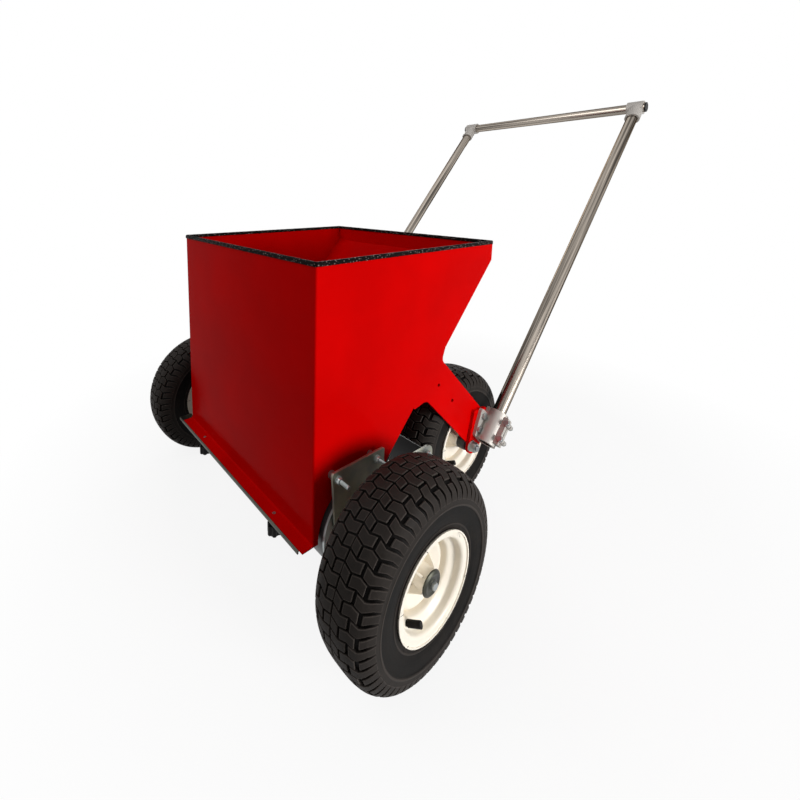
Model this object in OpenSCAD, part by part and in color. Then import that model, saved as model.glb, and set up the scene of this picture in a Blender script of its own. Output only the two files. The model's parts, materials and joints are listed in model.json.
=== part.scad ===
// Walk-behind lawn topdresser: a steep-backed hopper over a metering drum that the front wheels turn.
// X runs across the machine, Y runs from the front to the handle, Z is up.
// The origin is on the ground under the middle of the machine.

/* [Hopper] */
// Width over the outside of the side walls
hopper_w = 579; // [480:1:700]
// Depth of the hopper mouth, front to rear
hopper_depth = 588; // [540:1:640]
// Upright strip above the slope, at the rear
rear_strip_h = 48; // [30:1:70]
// Thickness of the hopper sheet
sheet = 2; // [1.5:0.1:3]
// Outside radius of the folded corners
fold_r = 4; // [3.5:0.5:8]
// Angle of the sloped back wall from the horizontal
slope_angle = 46.65; // [45:0.05:49]
// Distance of the slope's outer face behind the line through the drum centre
slope_back = 1.5; // [0:0.1:4]
// How far the front wall stands ahead of the front axle
face_ahead = 114.4; // [112:0.1:125]
// Height of the underside of the front lip
lip_z = 184; // [178:0.5:190]
// How far the front lip reaches forward
lip_out = 26; // [24:0.5:34]
// Radius of the crease above the front lip
lip_crease_r = 4; // [2:0.5:6]
// Height of the rubber edge trim
trim_h = 8; // [6:0.5:12]
// Rubber above the sheet edge
trim_top = 2; // [1.5:0.5:4]
// Wall of the rubber edge trim beside the sheet
trim_wall = 2; // [1.5:0.5:4]
// Clearance in the trim's slot
trim_gap = 0.1; // [0.05:0.05:0.3]

/* [Drum] */
// Outside radius of the metering drum
drum_r = 97.5; // [90:0.5:98]
// Wall of the drum tube
drum_wall = 3; // [2:0.5:6]
// Drum end outside the side wall
drum_out = 13.5; // [8:0.5:15]
// Thickness of each end disc
disc_t = 5; // [3:0.5:8]
// Radius of each end disc
disc_r = 98; // [90.5:0.5:99]
// Hub radius welded inside each end disc
disc_hub_r = 22; // [16:1:30]
// Radius of the notch that lets the drum out through the side walls
notch_r = 102; // [100:0.5:108]
// Gap between the wiper's edge and the drum
wiper_gap = 0.6; // [0.4:0.1:2]
// Thickness of the rubber wiper
wiper_t = 4; // [3:0.5:6]
// Length of the wiper down the slope
wiper_h = 44; // [36:1:60]
// Thickness of the bar that clamps the wiper
wiper_bar_t = 3; // [2:0.5:5]
// Width of the bar that clamps the wiper
wiper_bar_h = 28; // [24:1:32]
// Bolts along the wiper
wiper_bolt_count = 6; // [4:1:9]

/* [Metering gate] */
// Thickness of the gate plate
gate_t = 3; // [2:0.5:4]
// Height of the gate's turned-down front edge
gate_edge_h = 8; // [6:0.5:10]
// Gate's front edge ahead of the lip
gate_proud = 2.5; // [1:0.5:5]
// Gate reach behind the front of the lip
gate_depth = 34; // [30:0.5:36]
// Left end of the gate outside the left wall
gate_left_out = 27.5; // [2:0.5:30]
// Right end of the gate inside the right wall
gate_right_in = 12.5; // [4:0.5:40]
// Sliding clearance between gate and lip
gate_clearance = 0.2; // [0.1:0.1:0.5]
// Travel of the gate towards the drum
gate_close = 4.5; // [2:0.5:4.5]
// Travel of the gate away from the drum
gate_open = 5.5; // [1:0.5:6]
// Distance of each knob inside the side wall
knob_in = 116.5; // [60:0.5:160]
// Knob stud behind the front of the lip
stud_in = 14; // [13.5:0.5:15]
// Radius of the knob studs
stud_r = 4; // [3:0.5:5]
// Radius of the knob
knob_r = 15; // [12:0.5:20]
// Height of the knob's head
knob_h = 22; // [16:1:28]
// Radius of the knob's neck
knob_neck_r = 6.5; // [5.5:0.5:6.5]
// Length of the knob's neck
knob_neck_h = 19; // [12:1:26]

/* [Wheels] */
// Outside radius of the tyres
wheel_r = 190.5; // [185:0.5:205]
// Width of the tyres over the tread
tyre_w = 124; // [110:1:135]
// Outside radius of the rim flanges
rim_r = 98.9; // [92:0.1:108]
// Width of the rim over its flanges
rim_w = 119.8; // [104:0.2:128]
// Thickness of the rim sheet
rim_t = 3; // [2:0.5:4]
// Height of the rim flange above the bead seat
rim_flange_h = 15; // [12:1:18]
// Depth of the drop centre below the bead seat
rim_drop = 14; // [8:1:18]
// Length of the wheel hub
hub_len = 96; // [80:1:110]
// Outside radius of the wheel hub
hub_r = 21; // [19:0.5:26]
// Gussets between hub and disc
gusset_count = 4; // [3:1:8]
// Thickness of the tyre's tread wall
tread_wall = 16; // [14:0.5:18]
// Thickness of the tyre's side walls
side_wall = 8; // [5:0.5:10]
// Length of the valve stem outside the rim
valve_len = 27; // [20:1:27]
// Radius of the valve stem
valve_r = 6; // [4:0.5:7]
// Lean of the valve stem towards the axle
valve_tilt = 33; // [20:1:50]
// Turn of the valve below the front of the wheel
valve_turn = 48; // [0:1:90]
// Front wheel centres outside the side walls
front_wheel_out = 134.4; // [130:0.1:170]
// Rear wheel centres inside the side walls
rear_wheel_in = 73.7; // [72:0.1:90]
// Distance between the front and rear axles
wheelbase = 426.1; // [420:0.1:436]

/* [Front axle] */
// Radius of the front axle
axle_r = 10; // [8:0.5:12]
// Thickness of the axle plates
plate_t = 5; // [4:0.5:6]
// Gap between hopper wall and axle plate
plate_gap = 16; // [16:0.5:19]
// Height of the top edge of the axle plates
plate_top_z = 338.5; // [334:0.5:345]
// Radius of the spacers on the plate bolts
plate_spacer_r = 8; // [6:0.5:12]
// Height of the plate bolts above the ground
plate_bolt_z = 322; // [315:0.5:326]
// Radius of the plate bolts
plate_bolt_r = 4; // [3:0.5:5]
// Plate bolt end outside the plate
plate_bolt_out = 30; // [16:1:32]
// Thickness of the bearing flange
flange_t = 12; // [8:1:14]
// Depth of the whole bearing housing
housing_t = 30; // [24:1:34]
// Half the side of the square bearing flange
flange_half = 43; // [38:1:46]
// Half the spacing of the bearing bolts
bearing_bolt_half = 32; // [30:0.5:34]
// Radius of the bearing bolts
bearing_bolt_r = 5; // [4:0.5:6]
// Outside radius of the bearing's inner ring
ring_r = 20; // [17:0.5:24]
// Inner ring outside the housing
ring_out = 5; // [3:0.5:8]
// Radius of the domed hub washers
hub_washer_r = 24.5; // [20:0.5:28]
// Thickness of the domed hub washers
hub_washer_t = 5; // [3:0.5:7]

/* [Rear frame] */
// Width of each arm
arm_w = 100; // [90:1:110]
// Thickness of the arms and their flanges
arm_t = 4; // [3:0.5:5]
// Width of the arm's flange on the slope
arm_flange_w = 30; // [20:1:40]
// Arm's end past the rear axle, away from the slope
arm_past = 1.2; // [0.5:0.1:3]
// First accessory hole from the slope line
arm_hole_1 = 54; // [44:1:64]
// Second accessory hole from the slope line
arm_hole_2 = 139; // [110:1:170]
// Radius of the accessory holes
arm_hole_r = 4.25; // [3:0.25:6]
// Thickness of the axle lugs
lug_t = 8; // [6:0.5:10]
// Radius of the rear axle
rear_axle_r = 8; // [6:0.5:9]
// Outside radius of the spacers beside the rear hubs
rear_spacer_r = 19; // [14:0.5:22]
// Width of the collars inside the rear hubs
collar_w = 14; // [10:1:20]
// Height of the top edge of the cross plate
cross_top_z = 280; // [270:1:281]
// Height of the cross plate
cross_h = 84; // [60:1:90]
// Distance of the cross plate behind the front axle
cross_back = 193.6; // [180:0.2:200]
// Thickness of the cross plate
cross_t = 3; // [2:0.5:4]
// Width of the cross plate's end flanges
cross_flange_w = 27; // [24:1:29]

/* [Handle] */
// Outside radius of the handle tubes
tube_r = 16.8; // [14:0.1:18]
// Wall of the handle tubes
tube_wall = 2; // [1.5:0.1:3]
// Distance of each upright outside the side walls
upright_out = 31.2; // [29:0.1:45]
// Distance of the uprights past the rear axle, away from the slope
upright_back = 10.6; // [6:0.1:16]
// Lower end of the clamps above the rear axle, along the uprights
clamp_rise = 24.5; // [20:0.5:38]
// Length of the clamps along the uprights
clamp_len = 91; // [80:1:96]
// Outside radius of the clamps
clamp_r = 25; // [23:0.5:28]
// Sliding clearance of the tubes in the clamps
clamp_clearance = 0.08; // [0.05:0.01:0.1]
// Width of the slit in each clamp
slit_w = 3; // [2:0.5:5]
// How far the clamp ears reach outward from the tube's axis
ear_out = 34; // [32:0.5:38]
// Half the thickness over both clamp ears
ear_half = 13; // [11:0.5:15]
// Spacing of the two clamp bolts
clamp_bolt_gap = 45; // [36:1:52]
// Thickness of the clamp's base
clamp_base_t = 8; // [6:0.5:9]
// Distance of the handle bar's axis from the front axle, along the uprights
bar_s = 1650.5; // [1300:0.5:1750]
// Outside radius of the corner fittings
fitting_r = 23.5; // [21:0.5:27]
// Depth of the corner fittings down the uprights
fitting_drop = 58; // [45:1:80]
// Width of the corner fittings along the bar
fitting_w = 47; // [44:1:54]
// Handle bar end outside the uprights
bar_over = 25; // [24:0.5:34]
// Length of the web below each corner fitting
web_len = 40; // [20:1:60]
// Thickness of the web
web_t = 8; // [5:0.5:12]

/* [Fasteners] */
// Clearance of fasteners in their holes
hole_gap = 0.25; // [0.1:0.05:0.5]
// Clearance of parts pressed or keyed on the axles
seat_gap = 0.05; // [0.02:0.01:0.1]
// Clearance of shafts in bearings
run_gap = 0.05; // [0.02:0.01:0.1]

/* [Hidden] */
$fn = 64;

// Colours
paint_red = "#c80000";
cream = "#efe6d6";
tyre_black = "#262423";
rubber_black = "#1c1b1b";
black_paint = "#202020";
zinc = "#a9adb0";
steel = "#8d8f92";
cast_grey = "#b9bbbd";
stainless = "#8f8a83";

// Overall layout
rear_t = wheelbase * sin(slope_angle);
arm_reach = rear_t + arm_past;
upright_t = rear_t + upright_back;
handle_back = bar_s * cos(slope_angle) + upright_t * sin(slope_angle);
overall_len = wheel_r + handle_back + fitting_r;
axle_y = wheel_r - overall_len / 2;
axle_z = wheel_r;
face_y = axle_y - face_ahead;
back_y = face_y + hopper_depth;
side_x = hopper_w / 2;
inner_x = side_x - sheet;
knee_z = axle_z + (back_y - axle_y - slope_back * sin(slope_angle)) * tan(slope_angle)
  - slope_back * cos(slope_angle);
mouth_z = knee_z + rear_strip_h;
drum_len = 2 * (side_x + drum_out);
gate_left = side_x + gate_left_out;
gate_right = side_x - gate_right_in;
knob_x = side_x - knob_in;
front_track_half = side_x + front_wheel_out;
rear_track_half = side_x - rear_wheel_in;
upright_x = side_x + upright_out;
rear_axle_y = axle_y + wheelbase;
lip_front_y = face_y - lip_out;
stud_y = lip_front_y + stud_in;
plate_x = side_x + plate_gap;
plate_out_x = plate_x + plate_t;
housing_out_x = plate_out_x + housing_t;
front_hub_in_x = front_track_half - hub_len / 2;
front_hub_out_x = front_track_half + hub_len / 2;
rear_hub_in_x = rear_track_half - hub_len / 2;
rear_hub_out_x = rear_track_half + hub_len / 2;
arm_in_x = inner_x - arm_t;
lug_out_x = inner_x + lug_t;
over = 1;

// Arm and lug outlines, along the arm (t) and across it (s)
arm_low = wheelbase * cos(slope_angle);
clamp_low = arm_low + clamp_rise;
arm_high = arm_low + arm_w;
arm_foot = 36;
arm_heel = 30;
arm_hole_s = (arm_low + arm_high) / 2;

// Plate outline, from the front axle
plate_front = -86.4;
plate_rear = 57.6;
tail_top_z = cross_top_z + 2.5;
tail_end = cross_back + 34;
tail_low_z = 228;
plate_low_z = 138;
plate_nose = -77.9;
plate_nose_z = 226.7;
plate_foot_front = -45;
plate_foot_rear = 60;
plate_bolt_in = 14;
plate_bolt_rear_in = 24;
plate_bolt_ys = [plate_front + plate_bolt_in, plate_rear - plate_bolt_rear_in];
tail_bolt_in = 14;
tail_bolt_back = cross_back + tail_bolt_in;
tail_bolt_drop = 18.5;
tail_bolt_gap = 27.5;
tail_bolt_zs = [tail_top_z - tail_bolt_drop, tail_top_z - tail_bolt_drop - tail_bolt_gap];
tail_bolt_out = 14;

// Lug outline, from the rear axle (Y, Z)
lug_top = 6.5;
lug_top_z = 97;
lug_rear = 66;
lug_rear_z = 89;
lug_tail = 103;
lug_tail_z = 50;
lug_foot = 31;
lug_foot_z = -25;
lug_front = -18.5;
lug_front_z = -27;

// Clamp base outline and its bolts, inward from the upright (t) and up from the clamp's lower end (s)
base_high = 71;
base_reach_high = 58.4;
base_reach_low = 29.4;
base_bolt_reach_high = 33.4;
base_bolt_high = 57;
base_bolt_reach_low = 27.4;
base_bolt_low = 21;

// Hexagon sizes across the corners
nut_r5 = 4.6;
nut_r8 = 7.5;
nut_r10 = 9.8;
nut_r16 = 13.8;
head_t8 = 5.3;
nut_t8 = 6.5;
thread_out = 4;

bead_r = rim_r - rim_flange_h;
well_r = bead_r - rim_drop;
flange_x = rim_w / 2;
bore_gap = 2;

// Geometry helpers
function unit(v) = v / norm(v);
function corner_arc(a, p, b, r, steps = 6) =
  r <= 0 ? [[p[0], p[1]]] :
  let (
    u = unit([a[0] - p[0], a[1] - p[1]]),
    v = unit([b[0] - p[0], b[1] - p[1]]),
    half = acos(u * v) / 2,
    mid = [p[0], p[1]] + unit(u + v) * r / sin(half),
    from = [p[0], p[1]] + u * r / tan(half) - mid,
    to = [p[0], p[1]] + v * r / tan(half) - mid,
    start = atan2(from[1], from[0]),
    raw = atan2(to[1], to[0]) - start,
    turn = raw > 180 ? raw - 360 : raw < -180 ? raw + 360 : raw
  )
  [for (i = [0:steps]) mid + r * [cos(start + turn * i / steps), sin(start + turn * i / steps)]];
function rounded(pts) =
  let (n = len(pts))
  [for (i = [0:n - 1]) each corner_arc(pts[(i + n - 1) % n], pts[i], pts[(i + 1) % n], pts[i][2])];
function slope_point(s, t) = [
  axle_y + s * cos(slope_angle) + t * sin(slope_angle),
  axle_z + s * sin(slope_angle) - t * cos(slope_angle)
];
function slope_s(y, t) = (y - axle_y - t * sin(slope_angle)) / cos(slope_angle);

// A plate standing across X, drawn as (Y, Z)
module across(x, t) {
  translate([x, 0, 0])
    rotate([90, 0, 90])
      linear_extrude(t)
        children();
}

// A rod along X
module rod_x(x, len, r) {
  translate([x, 0, 0])
    rotate([0, 90, 0])
      cylinder(h = len, r = r);
}

// A hexagon along X
module hex_x(x, len, r) {
  translate([x, 0, 0])
    rotate([0, 90, 0])
      cylinder(h = len, r = r, $fn = 6);
}

// The slope's own directions: X across, Y away from the slope, Z up along it
module on_slope() {
  translate([0, axle_y, axle_z])
    rotate([slope_angle - 90, 0, 0])
      children();
}

module at_front_axle() {
  translate([0, axle_y, axle_z])
    children();
}

module at_rear_axle() {
  translate([0, rear_axle_y, axle_z])
    children();
}

module both_sides() {
  children();
  mirror([1, 0, 0])
    children();
}

module left_side() {
  mirror([1, 0, 0])
    children();
}

// Hopper
module hopper_plan(out, in, rear) {
  ro = fold_r + out;
  ri = fold_r - sheet - in;
  difference() {
    polygon(rounded([
      [-side_x - out, rear + out, 0],
      [-side_x - out, face_y - out, ro],
      [side_x + out, face_y - out, ro],
      [side_x + out, rear + out, 0]
    ]));
    polygon(rounded([
      [-inner_x + in, rear + over + out, 0],
      [-inner_x + in, face_y + sheet + in, max(ri, 0)],
      [inner_x - in, face_y + sheet + in, max(ri, 0)],
      [inner_x - in, rear + over + out, 0]
    ]));
  }
}

module hopper_side_outline() {
  low = slope_point(notch_r / 4, slope_back);
  knee_s = slope_s(back_y, slope_back);
  polygon([
    [face_y - over, lip_z],
    [axle_y, lip_z],
    low,
    slope_point(knee_s, slope_back),
    [back_y, mouth_z],
    [face_y - over, mouth_z]
  ]);
}

module plate_bolt_places() {
  for (y = plate_bolt_ys)
    translate([0, axle_y + y, plate_bolt_z])
      children();
}

module front_lip() {
  across(-side_x, hopper_w)
    polygon(concat(
      [[lip_front_y, lip_z], [face_y + sheet / 2, lip_z], [face_y + sheet / 2, lip_z + sheet + lip_crease_r],
       [face_y, lip_z + sheet + lip_crease_r]],
      [for (a = [0:-15:-90])
        [face_y - lip_crease_r, lip_z + sheet + lip_crease_r] + lip_crease_r * [cos(a), sin(a)]],
      [[lip_front_y, lip_z + sheet]]
    ));
}

module hopper_body() {
  color(paint_red)
    difference() {
      union() {
        intersection() {
          translate([0, 0, lip_z])
            linear_extrude(mouth_z - lip_z)
              hopper_plan(0, 0, back_y);
          across(-side_x - over, hopper_w + 2 * over)
            hopper_side_outline();
        }
        front_lip();
      }
      at_front_axle()
        rod_x(-side_x - over, hopper_w + 2 * over, notch_r);
      plate_bolt_places()
        rod_x(-side_x - over, hopper_w + 2 * over, plate_bolt_r + hole_gap);
      gate_stud_places()
        cylinder(h = 4 * sheet, r = stud_r + seat_gap, center = true);
    }
}

module hopper_back() {
  knee = slope_point(slope_s(back_y, slope_back), slope_back);
  inner_knee = slope_point(slope_s(back_y - sheet, slope_back - sheet), slope_back - sheet);
  foot = slope_point(notch_r, slope_back);
  inner_foot = slope_point(notch_r, slope_back - sheet);
  color(paint_red)
    difference() {
      across(-inner_x, 2 * inner_x)
        polygon(rounded([
          [foot[0], foot[1], 0],
          [knee[0], knee[1], fold_r],
          [back_y, mouth_z, 0],
          [back_y - sheet, mouth_z, 0],
          [inner_knee[0], inner_knee[1], fold_r - sheet],
          [inner_foot[0], inner_foot[1], 0]
        ]));
      wiper_bolt_places()
        rotate([90, 0, 0])
          cylinder(h = 8 * sheet, r = wiper_bolt_r + hole_gap, center = true);
    }
}

module rim_trim() {
  color(rubber_black)
    translate([0, 0, mouth_z + trim_top - trim_h])
      difference() {
        linear_extrude(trim_h)
          mouth_ring(trim_wall, trim_wall);
        translate([0, 0, -over])
          linear_extrude(trim_h - trim_top + over)
            mouth_ring(trim_gap, trim_gap);
      }
}

// A ring over the mouth's sheet edges, wider by out and by in
module mouth_ring(out, in) {
  ro = fold_r + out;
  ri = max(fold_r - sheet - in, 0);
  difference() {
    polygon(rounded([
      [-side_x - out, back_y + out, out],
      [-side_x - out, face_y - out, ro],
      [side_x + out, face_y - out, ro],
      [side_x + out, back_y + out, out]
    ]));
    polygon(rounded([
      [-inner_x + in, back_y - sheet - in, 0],
      [-inner_x + in, face_y + sheet + in, ri],
      [inner_x - in, face_y + sheet + in, ri],
      [inner_x - in, back_y - sheet - in, 0]
    ]));
  }
}

// Wiper under the slope, against the drum
wiper_bolt_r = 2.5;
wiper_low = drum_r + wiper_gap;
wiper_bolt_s = wiper_low + wiper_h - wiper_bar_h / 2;
wiper_end = 30;
wiper_span = hopper_w - 2 * wiper_end;

module wiper_bolt_places() {
  for (i = [0:wiper_bolt_count - 1])
    on_slope()
      translate([-wiper_span / 2 + wiper_span * i / (wiper_bolt_count - 1), slope_back, wiper_bolt_s])
        children();
}

module wiper_strip() {
  color(rubber_black)
    difference() {
      on_slope()
        translate([-side_x, slope_back, wiper_low])
          cube([hopper_w, wiper_t, wiper_h]);
      wiper_bolt_places()
        rotate([90, 0, 0])
          cylinder(h = 8 * wiper_t, r = wiper_bolt_r + hole_gap, center = true);
    }
}

module wiper_bar() {
  color(zinc)
    difference() {
      on_slope()
        translate([-side_x, slope_back + wiper_t, wiper_low + wiper_h - wiper_bar_h])
          cube([hopper_w, wiper_bar_t, wiper_bar_h]);
      wiper_bolt_places()
        rotate([90, 0, 0])
          cylinder(h = 8 * wiper_t, r = wiper_bolt_r + hole_gap, center = true);
    }
}

module wiper_bolts() {
  head_t = 2;
  nut_t = 4;
  stack = sheet + wiper_t + wiper_bar_t;
  color(zinc)
    wiper_bolt_places()
      translate([0, -sheet, 0])
        rotate([-90, 0, 0])
          union() {
            translate([0, 0, -head_t])
              cylinder(h = head_t, r1 = 3, r2 = nut_r5);
            cylinder(h = stack + nut_t + 2, r = wiper_bolt_r);
            translate([0, 0, stack])
              cylinder(h = nut_t, r = nut_r5, $fn = 6);
          }
}

// Metering gate under the lip
module gate_stud_places() {
  for (x = [-knob_x, knob_x])
    translate([x, stud_y, lip_z])
      children();
}

stud_len = gate_clearance + gate_t + knob_neck_h + knob_h / 2;

module gate_studs() {
  color(zinc)
    gate_stud_places()
      translate([0, 0, -stud_len])
        cylinder(h = stud_len + sheet, r = stud_r);
}

gate_top = lip_z - gate_clearance;
gate_front = lip_front_y - gate_proud;

module gate_plate() {
  rear = lip_front_y + gate_depth;
  slot_r = stud_r + hole_gap;
  color(zinc)
    difference() {
      translate([-gate_left, 0, 0])
        across(0, gate_left + gate_right)
          polygon(rounded([
            [gate_front, gate_top, 1.5],
            [rear, gate_top, 0],
            [rear, gate_top - gate_t, 0],
            [gate_front, gate_top - gate_t, 0]
          ]));
      for (x = [-knob_x, knob_x])
        translate([x, stud_y, lip_z - gate_clearance - gate_t / 2]) {
          translate([0, -gate_close, 0])
            cylinder(h = 3 * gate_t, r = slot_r, center = true);
          translate([0, gate_open, 0])
            cylinder(h = 3 * gate_t, r = slot_r, center = true);
          translate([0, (gate_open - gate_close) / 2, 0])
            cube([2 * slot_r, gate_open + gate_close, 3 * gate_t], center = true);
        }
    }
}

module gate_edge() {
  color(zinc)
    translate([-gate_left, gate_front, gate_top - gate_edge_h])
      cube([gate_left + gate_right, gate_t, gate_edge_h - gate_t]);
}

module gate_knob() {
  lobes = 6;
  neck_top = -gate_clearance - gate_t - gate_clearance;
  color(black_paint)
    gate_stud_place_right()
      translate([0, 0, neck_top - knob_neck_h - knob_h])
        difference() {
          union() {
            translate([0, 0, knob_h])
              cylinder(h = knob_neck_h, r = knob_neck_r);
            difference() {
              cylinder(h = knob_h, r = knob_r);
              for (i = [0:lobes - 1])
                rotate([0, 0, 60 * i])
                  translate([knob_r + 4.5, 0, -over])
                    cylinder(h = knob_h + 2 * over, r = 7);
            }
          }
          translate([0, 0, knob_h / 4])
            cylinder(h = knob_h + knob_neck_h, r = stud_r + run_gap);
        }
}

module gate_stud_place_right() {
  translate([knob_x, stud_y, lip_z])
    children();
}

module gate_knob_left() {
  left_side()
    gate_knob();
}

module gate_knob_right() {
  gate_knob();
}

// Front axle, drum and side plates
axle_end = front_hub_out_x - 1;
hub_bolt_r = 4;
hub_bolt_depth = 26;

module front_axle() {
  color(steel)
    at_front_axle()
      difference() {
        rod_x(-axle_end, 2 * axle_end, axle_r);
        both_sides()
          rod_x(axle_end - hub_bolt_depth - bore_gap, hub_bolt_depth + bore_gap + over, hub_bolt_r + seat_gap);
      }
}

module drum_shell() {
  len = drum_len - 2 * disc_t;
  color(black_paint)
    at_front_axle()
      difference() {
        rod_x(-len / 2, len, drum_r);
        rod_x(-len / 2 - over, len + 2 * over, drum_r - drum_wall);
      }
}

module drum_disc() {
  spigot = 6;
  hub_in = 20;
  color(zinc)
    at_front_axle()
      translate([drum_len / 2 - disc_t, 0, 0])
        difference() {
          union() {
            rod_x(0, disc_t, disc_r);
            rod_x(-spigot, spigot, drum_r - drum_wall - seat_gap);
            rod_x(-hub_in, hub_in, disc_hub_r);
          }
          rod_x(-hub_in - over, hub_in + disc_t + 2 * over, axle_r + seat_gap);
          difference() {
            rod_x(-spigot - over, spigot + over, drum_r - 3 * drum_wall);
            rod_x(-spigot - 2 * over, spigot + 3 * over, disc_hub_r);
          }
        }
}

module drum_disc_left() {
  left_side()
    drum_disc();
}

module drum_disc_right() {
  drum_disc();
}

module bearing_bolt_places() {
  for (y = [-bearing_bolt_half, bearing_bolt_half])
    for (z = [-bearing_bolt_half, bearing_bolt_half])
      translate([0, axle_y + y, axle_z + z])
        children();
}

module tail_bolt_places() {
  for (z = tail_bolt_zs)
    translate([0, axle_y + tail_bolt_back, z])
      children();
}

tail_bolt_r = 4;

module axle_plate() {
  color(zinc)
    difference() {
      across(plate_x, plate_t)
        translate([axle_y, 0])
          polygon(rounded([
            [plate_front, plate_top_z, 6],
            [plate_rear, plate_top_z, 6],
            [plate_rear, tail_top_z, 8],
            [tail_end, tail_top_z, 20],
            [tail_end, tail_low_z, 16],
            [plate_foot_rear, plate_low_z, 30],
            [plate_foot_front, plate_low_z, 30],
            [plate_nose, plate_nose_z, 10]
          ]));
      at_front_axle()
        rod_x(plate_x - over, plate_t + 2 * over, axle_r + bore_gap);
      bearing_bolt_places()
        rod_x(plate_x - over, plate_t + 2 * over, bearing_bolt_r + seat_gap);
      plate_bolt_places()
        rod_x(plate_x - over, plate_t + 2 * over, plate_bolt_r + hole_gap);
      tail_bolt_places()
        rod_x(plate_x - over, plate_t + 2 * over, tail_bolt_r + hole_gap);
    }
}

module axle_plate_left() {
  left_side()
    axle_plate();
}

module axle_plate_right() {
  axle_plate();
}

module plate_nut() {
  difference() {
    union() {
      rod_x(plate_out_x, 1.6, nut_r8 + 1);
      hex_x(plate_out_x + 1.6, nut_t8, nut_r8);
    }
    rod_x(plate_out_x - over, nut_t8 + 4 * over, plate_bolt_r + seat_gap);
  }
}

module plate_bolts() {
  head_t = 4.5;
  color(zinc)
    both_sides()
      plate_bolt_places() {
        rod_x(inner_x - head_t, head_t, nut_r8);
        rod_x(inner_x, plate_out_x + plate_bolt_out - inner_x, plate_bolt_r);
        plate_nut();
      }
}

module plate_spacers() {
  color(zinc)
    both_sides()
      plate_bolt_places()
        difference() {
          rod_x(side_x, plate_gap, plate_spacer_r);
          rod_x(side_x - over, plate_gap + 2 * over, plate_bolt_r + hole_gap);
        }
}

module front_bearing() {
  color(cast_grey)
    difference() {
      union() {
        across(plate_out_x, flange_t)
          translate([axle_y, axle_z])
            polygon(rounded([
              [-flange_half, -flange_half, 10],
              [flange_half, -flange_half, 10],
              [flange_half, flange_half, 10],
              [-flange_half, flange_half, 10]
            ]));
        at_front_axle()
          rod_x(plate_out_x, housing_t, ring_r + 11);
      }
      at_front_axle()
        rod_x(plate_out_x - over, housing_t + 2 * over, ring_r + run_gap);
      bearing_bolt_places()
        rod_x(plate_out_x - over, flange_t + 2 * over, bearing_bolt_r + hole_gap);
    }
}

module front_bearing_left() {
  left_side()
    front_bearing();
}

module front_bearing_right() {
  front_bearing();
}

module bearing_rings() {
  color(steel)
    both_sides()
      at_front_axle()
        difference() {
          rod_x(plate_out_x + 1, housing_t - 1 + ring_out, ring_r);
          rod_x(plate_out_x, housing_t + ring_out + over, axle_r + seat_gap);
        }
}

module bearing_bolts() {
  color(zinc)
    both_sides()
      bearing_bolt_places()
        union() {
          rod_x(plate_x + 0.5, plate_t + flange_t - 0.5, bearing_bolt_r);
          hex_x(plate_out_x + flange_t, 6.4, nut_r10);
        }
}

module cross_plate() {
  color(black_paint)
    difference() {
      union() {
        translate([-plate_x, axle_y + cross_back, cross_top_z - cross_h])
          cube([2 * plate_x, cross_t, cross_h]);
        both_sides()
          across(plate_x - cross_t, cross_t)
            translate([axle_y + cross_back, 0])
              polygon(rounded([
                [0, cross_top_z, 0],
                [cross_flange_w, cross_top_z, 6],
                [cross_flange_w, cross_top_z - cross_h / 2 - 12, 6],
                [cross_t, cross_top_z - cross_h, 0],
                [0, cross_top_z - cross_h, 0]
              ]));
      }
      tail_bolt_places()
        rod_x(-plate_x - over, 2 * plate_x + 2 * over, tail_bolt_r + hole_gap);
    }
}

module cross_bolts() {
  color(zinc)
    both_sides()
      tail_bolt_places()
        union() {
          hex_x(plate_x - cross_t - head_t8, head_t8, nut_r8);
          rod_x(plate_x - cross_t, cross_t + plate_t + tail_bolt_out, tail_bolt_r);
          hex_x(plate_out_x, nut_t8, nut_r8);
        }
}

module front_spacers() {
  start = housing_out_x + ring_out;
  color(zinc)
    both_sides()
      at_front_axle()
        difference() {
          rod_x(start, front_hub_in_x - start, axle_r + 5);
          rod_x(start - over, front_hub_in_x - start + 2 * over, axle_r + seat_gap);
        }
}

// Wheels, drawn about X with the outer side towards +X
bead_w = 13;
bead_slope = 7;
curl = 2;
face_x = flange_x - curl;
seat_x = face_x - rim_t - bead_w;
disc_back_x = 16;
gusset_h = 22;

function flip(pts) = [for (i = [len(pts) - 1:-1:0]) [-pts[i][0], pts[i][1]]];
function reversed(pts) = [for (i = [len(pts) - 1:-1:0]) pts[i]];
function swap(pts) = [for (p = pts) [p[1], p[0]]];

module revolve_x(pts) {
  rotate([0, 90, 0])
    rotate_extrude()
      polygon(swap(pts));
}

// The tyre's side of the rim, from the outer flange to the drop centre
function rim_seat() = [
  [face_x - 0.5, rim_r - 0.5],
  [face_x - rim_t, rim_r - 2],
  [face_x - rim_t, bead_r + 2],
  [face_x - rim_t - 2, bead_r],
  [seat_x, bead_r],
  [seat_x - bead_slope, well_r]
];

// The open side of the rim, from the drop centre to the outer flange
slope_run = bead_slope / rim_drop;
slope_shift = rim_t * (sqrt(1 + slope_run * slope_run) - slope_run);
function rim_open() = [
  [seat_x - bead_slope + slope_shift, well_r - rim_t],
  [seat_x + slope_shift, bead_r - rim_t],
  [face_x - 2, bead_r - rim_t],
  [face_x, bead_r - rim_t + 2],
  [face_x, rim_r - 4],
  [face_x + curl, rim_r - 2],
  [face_x + curl - 0.5, rim_r]
];

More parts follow.
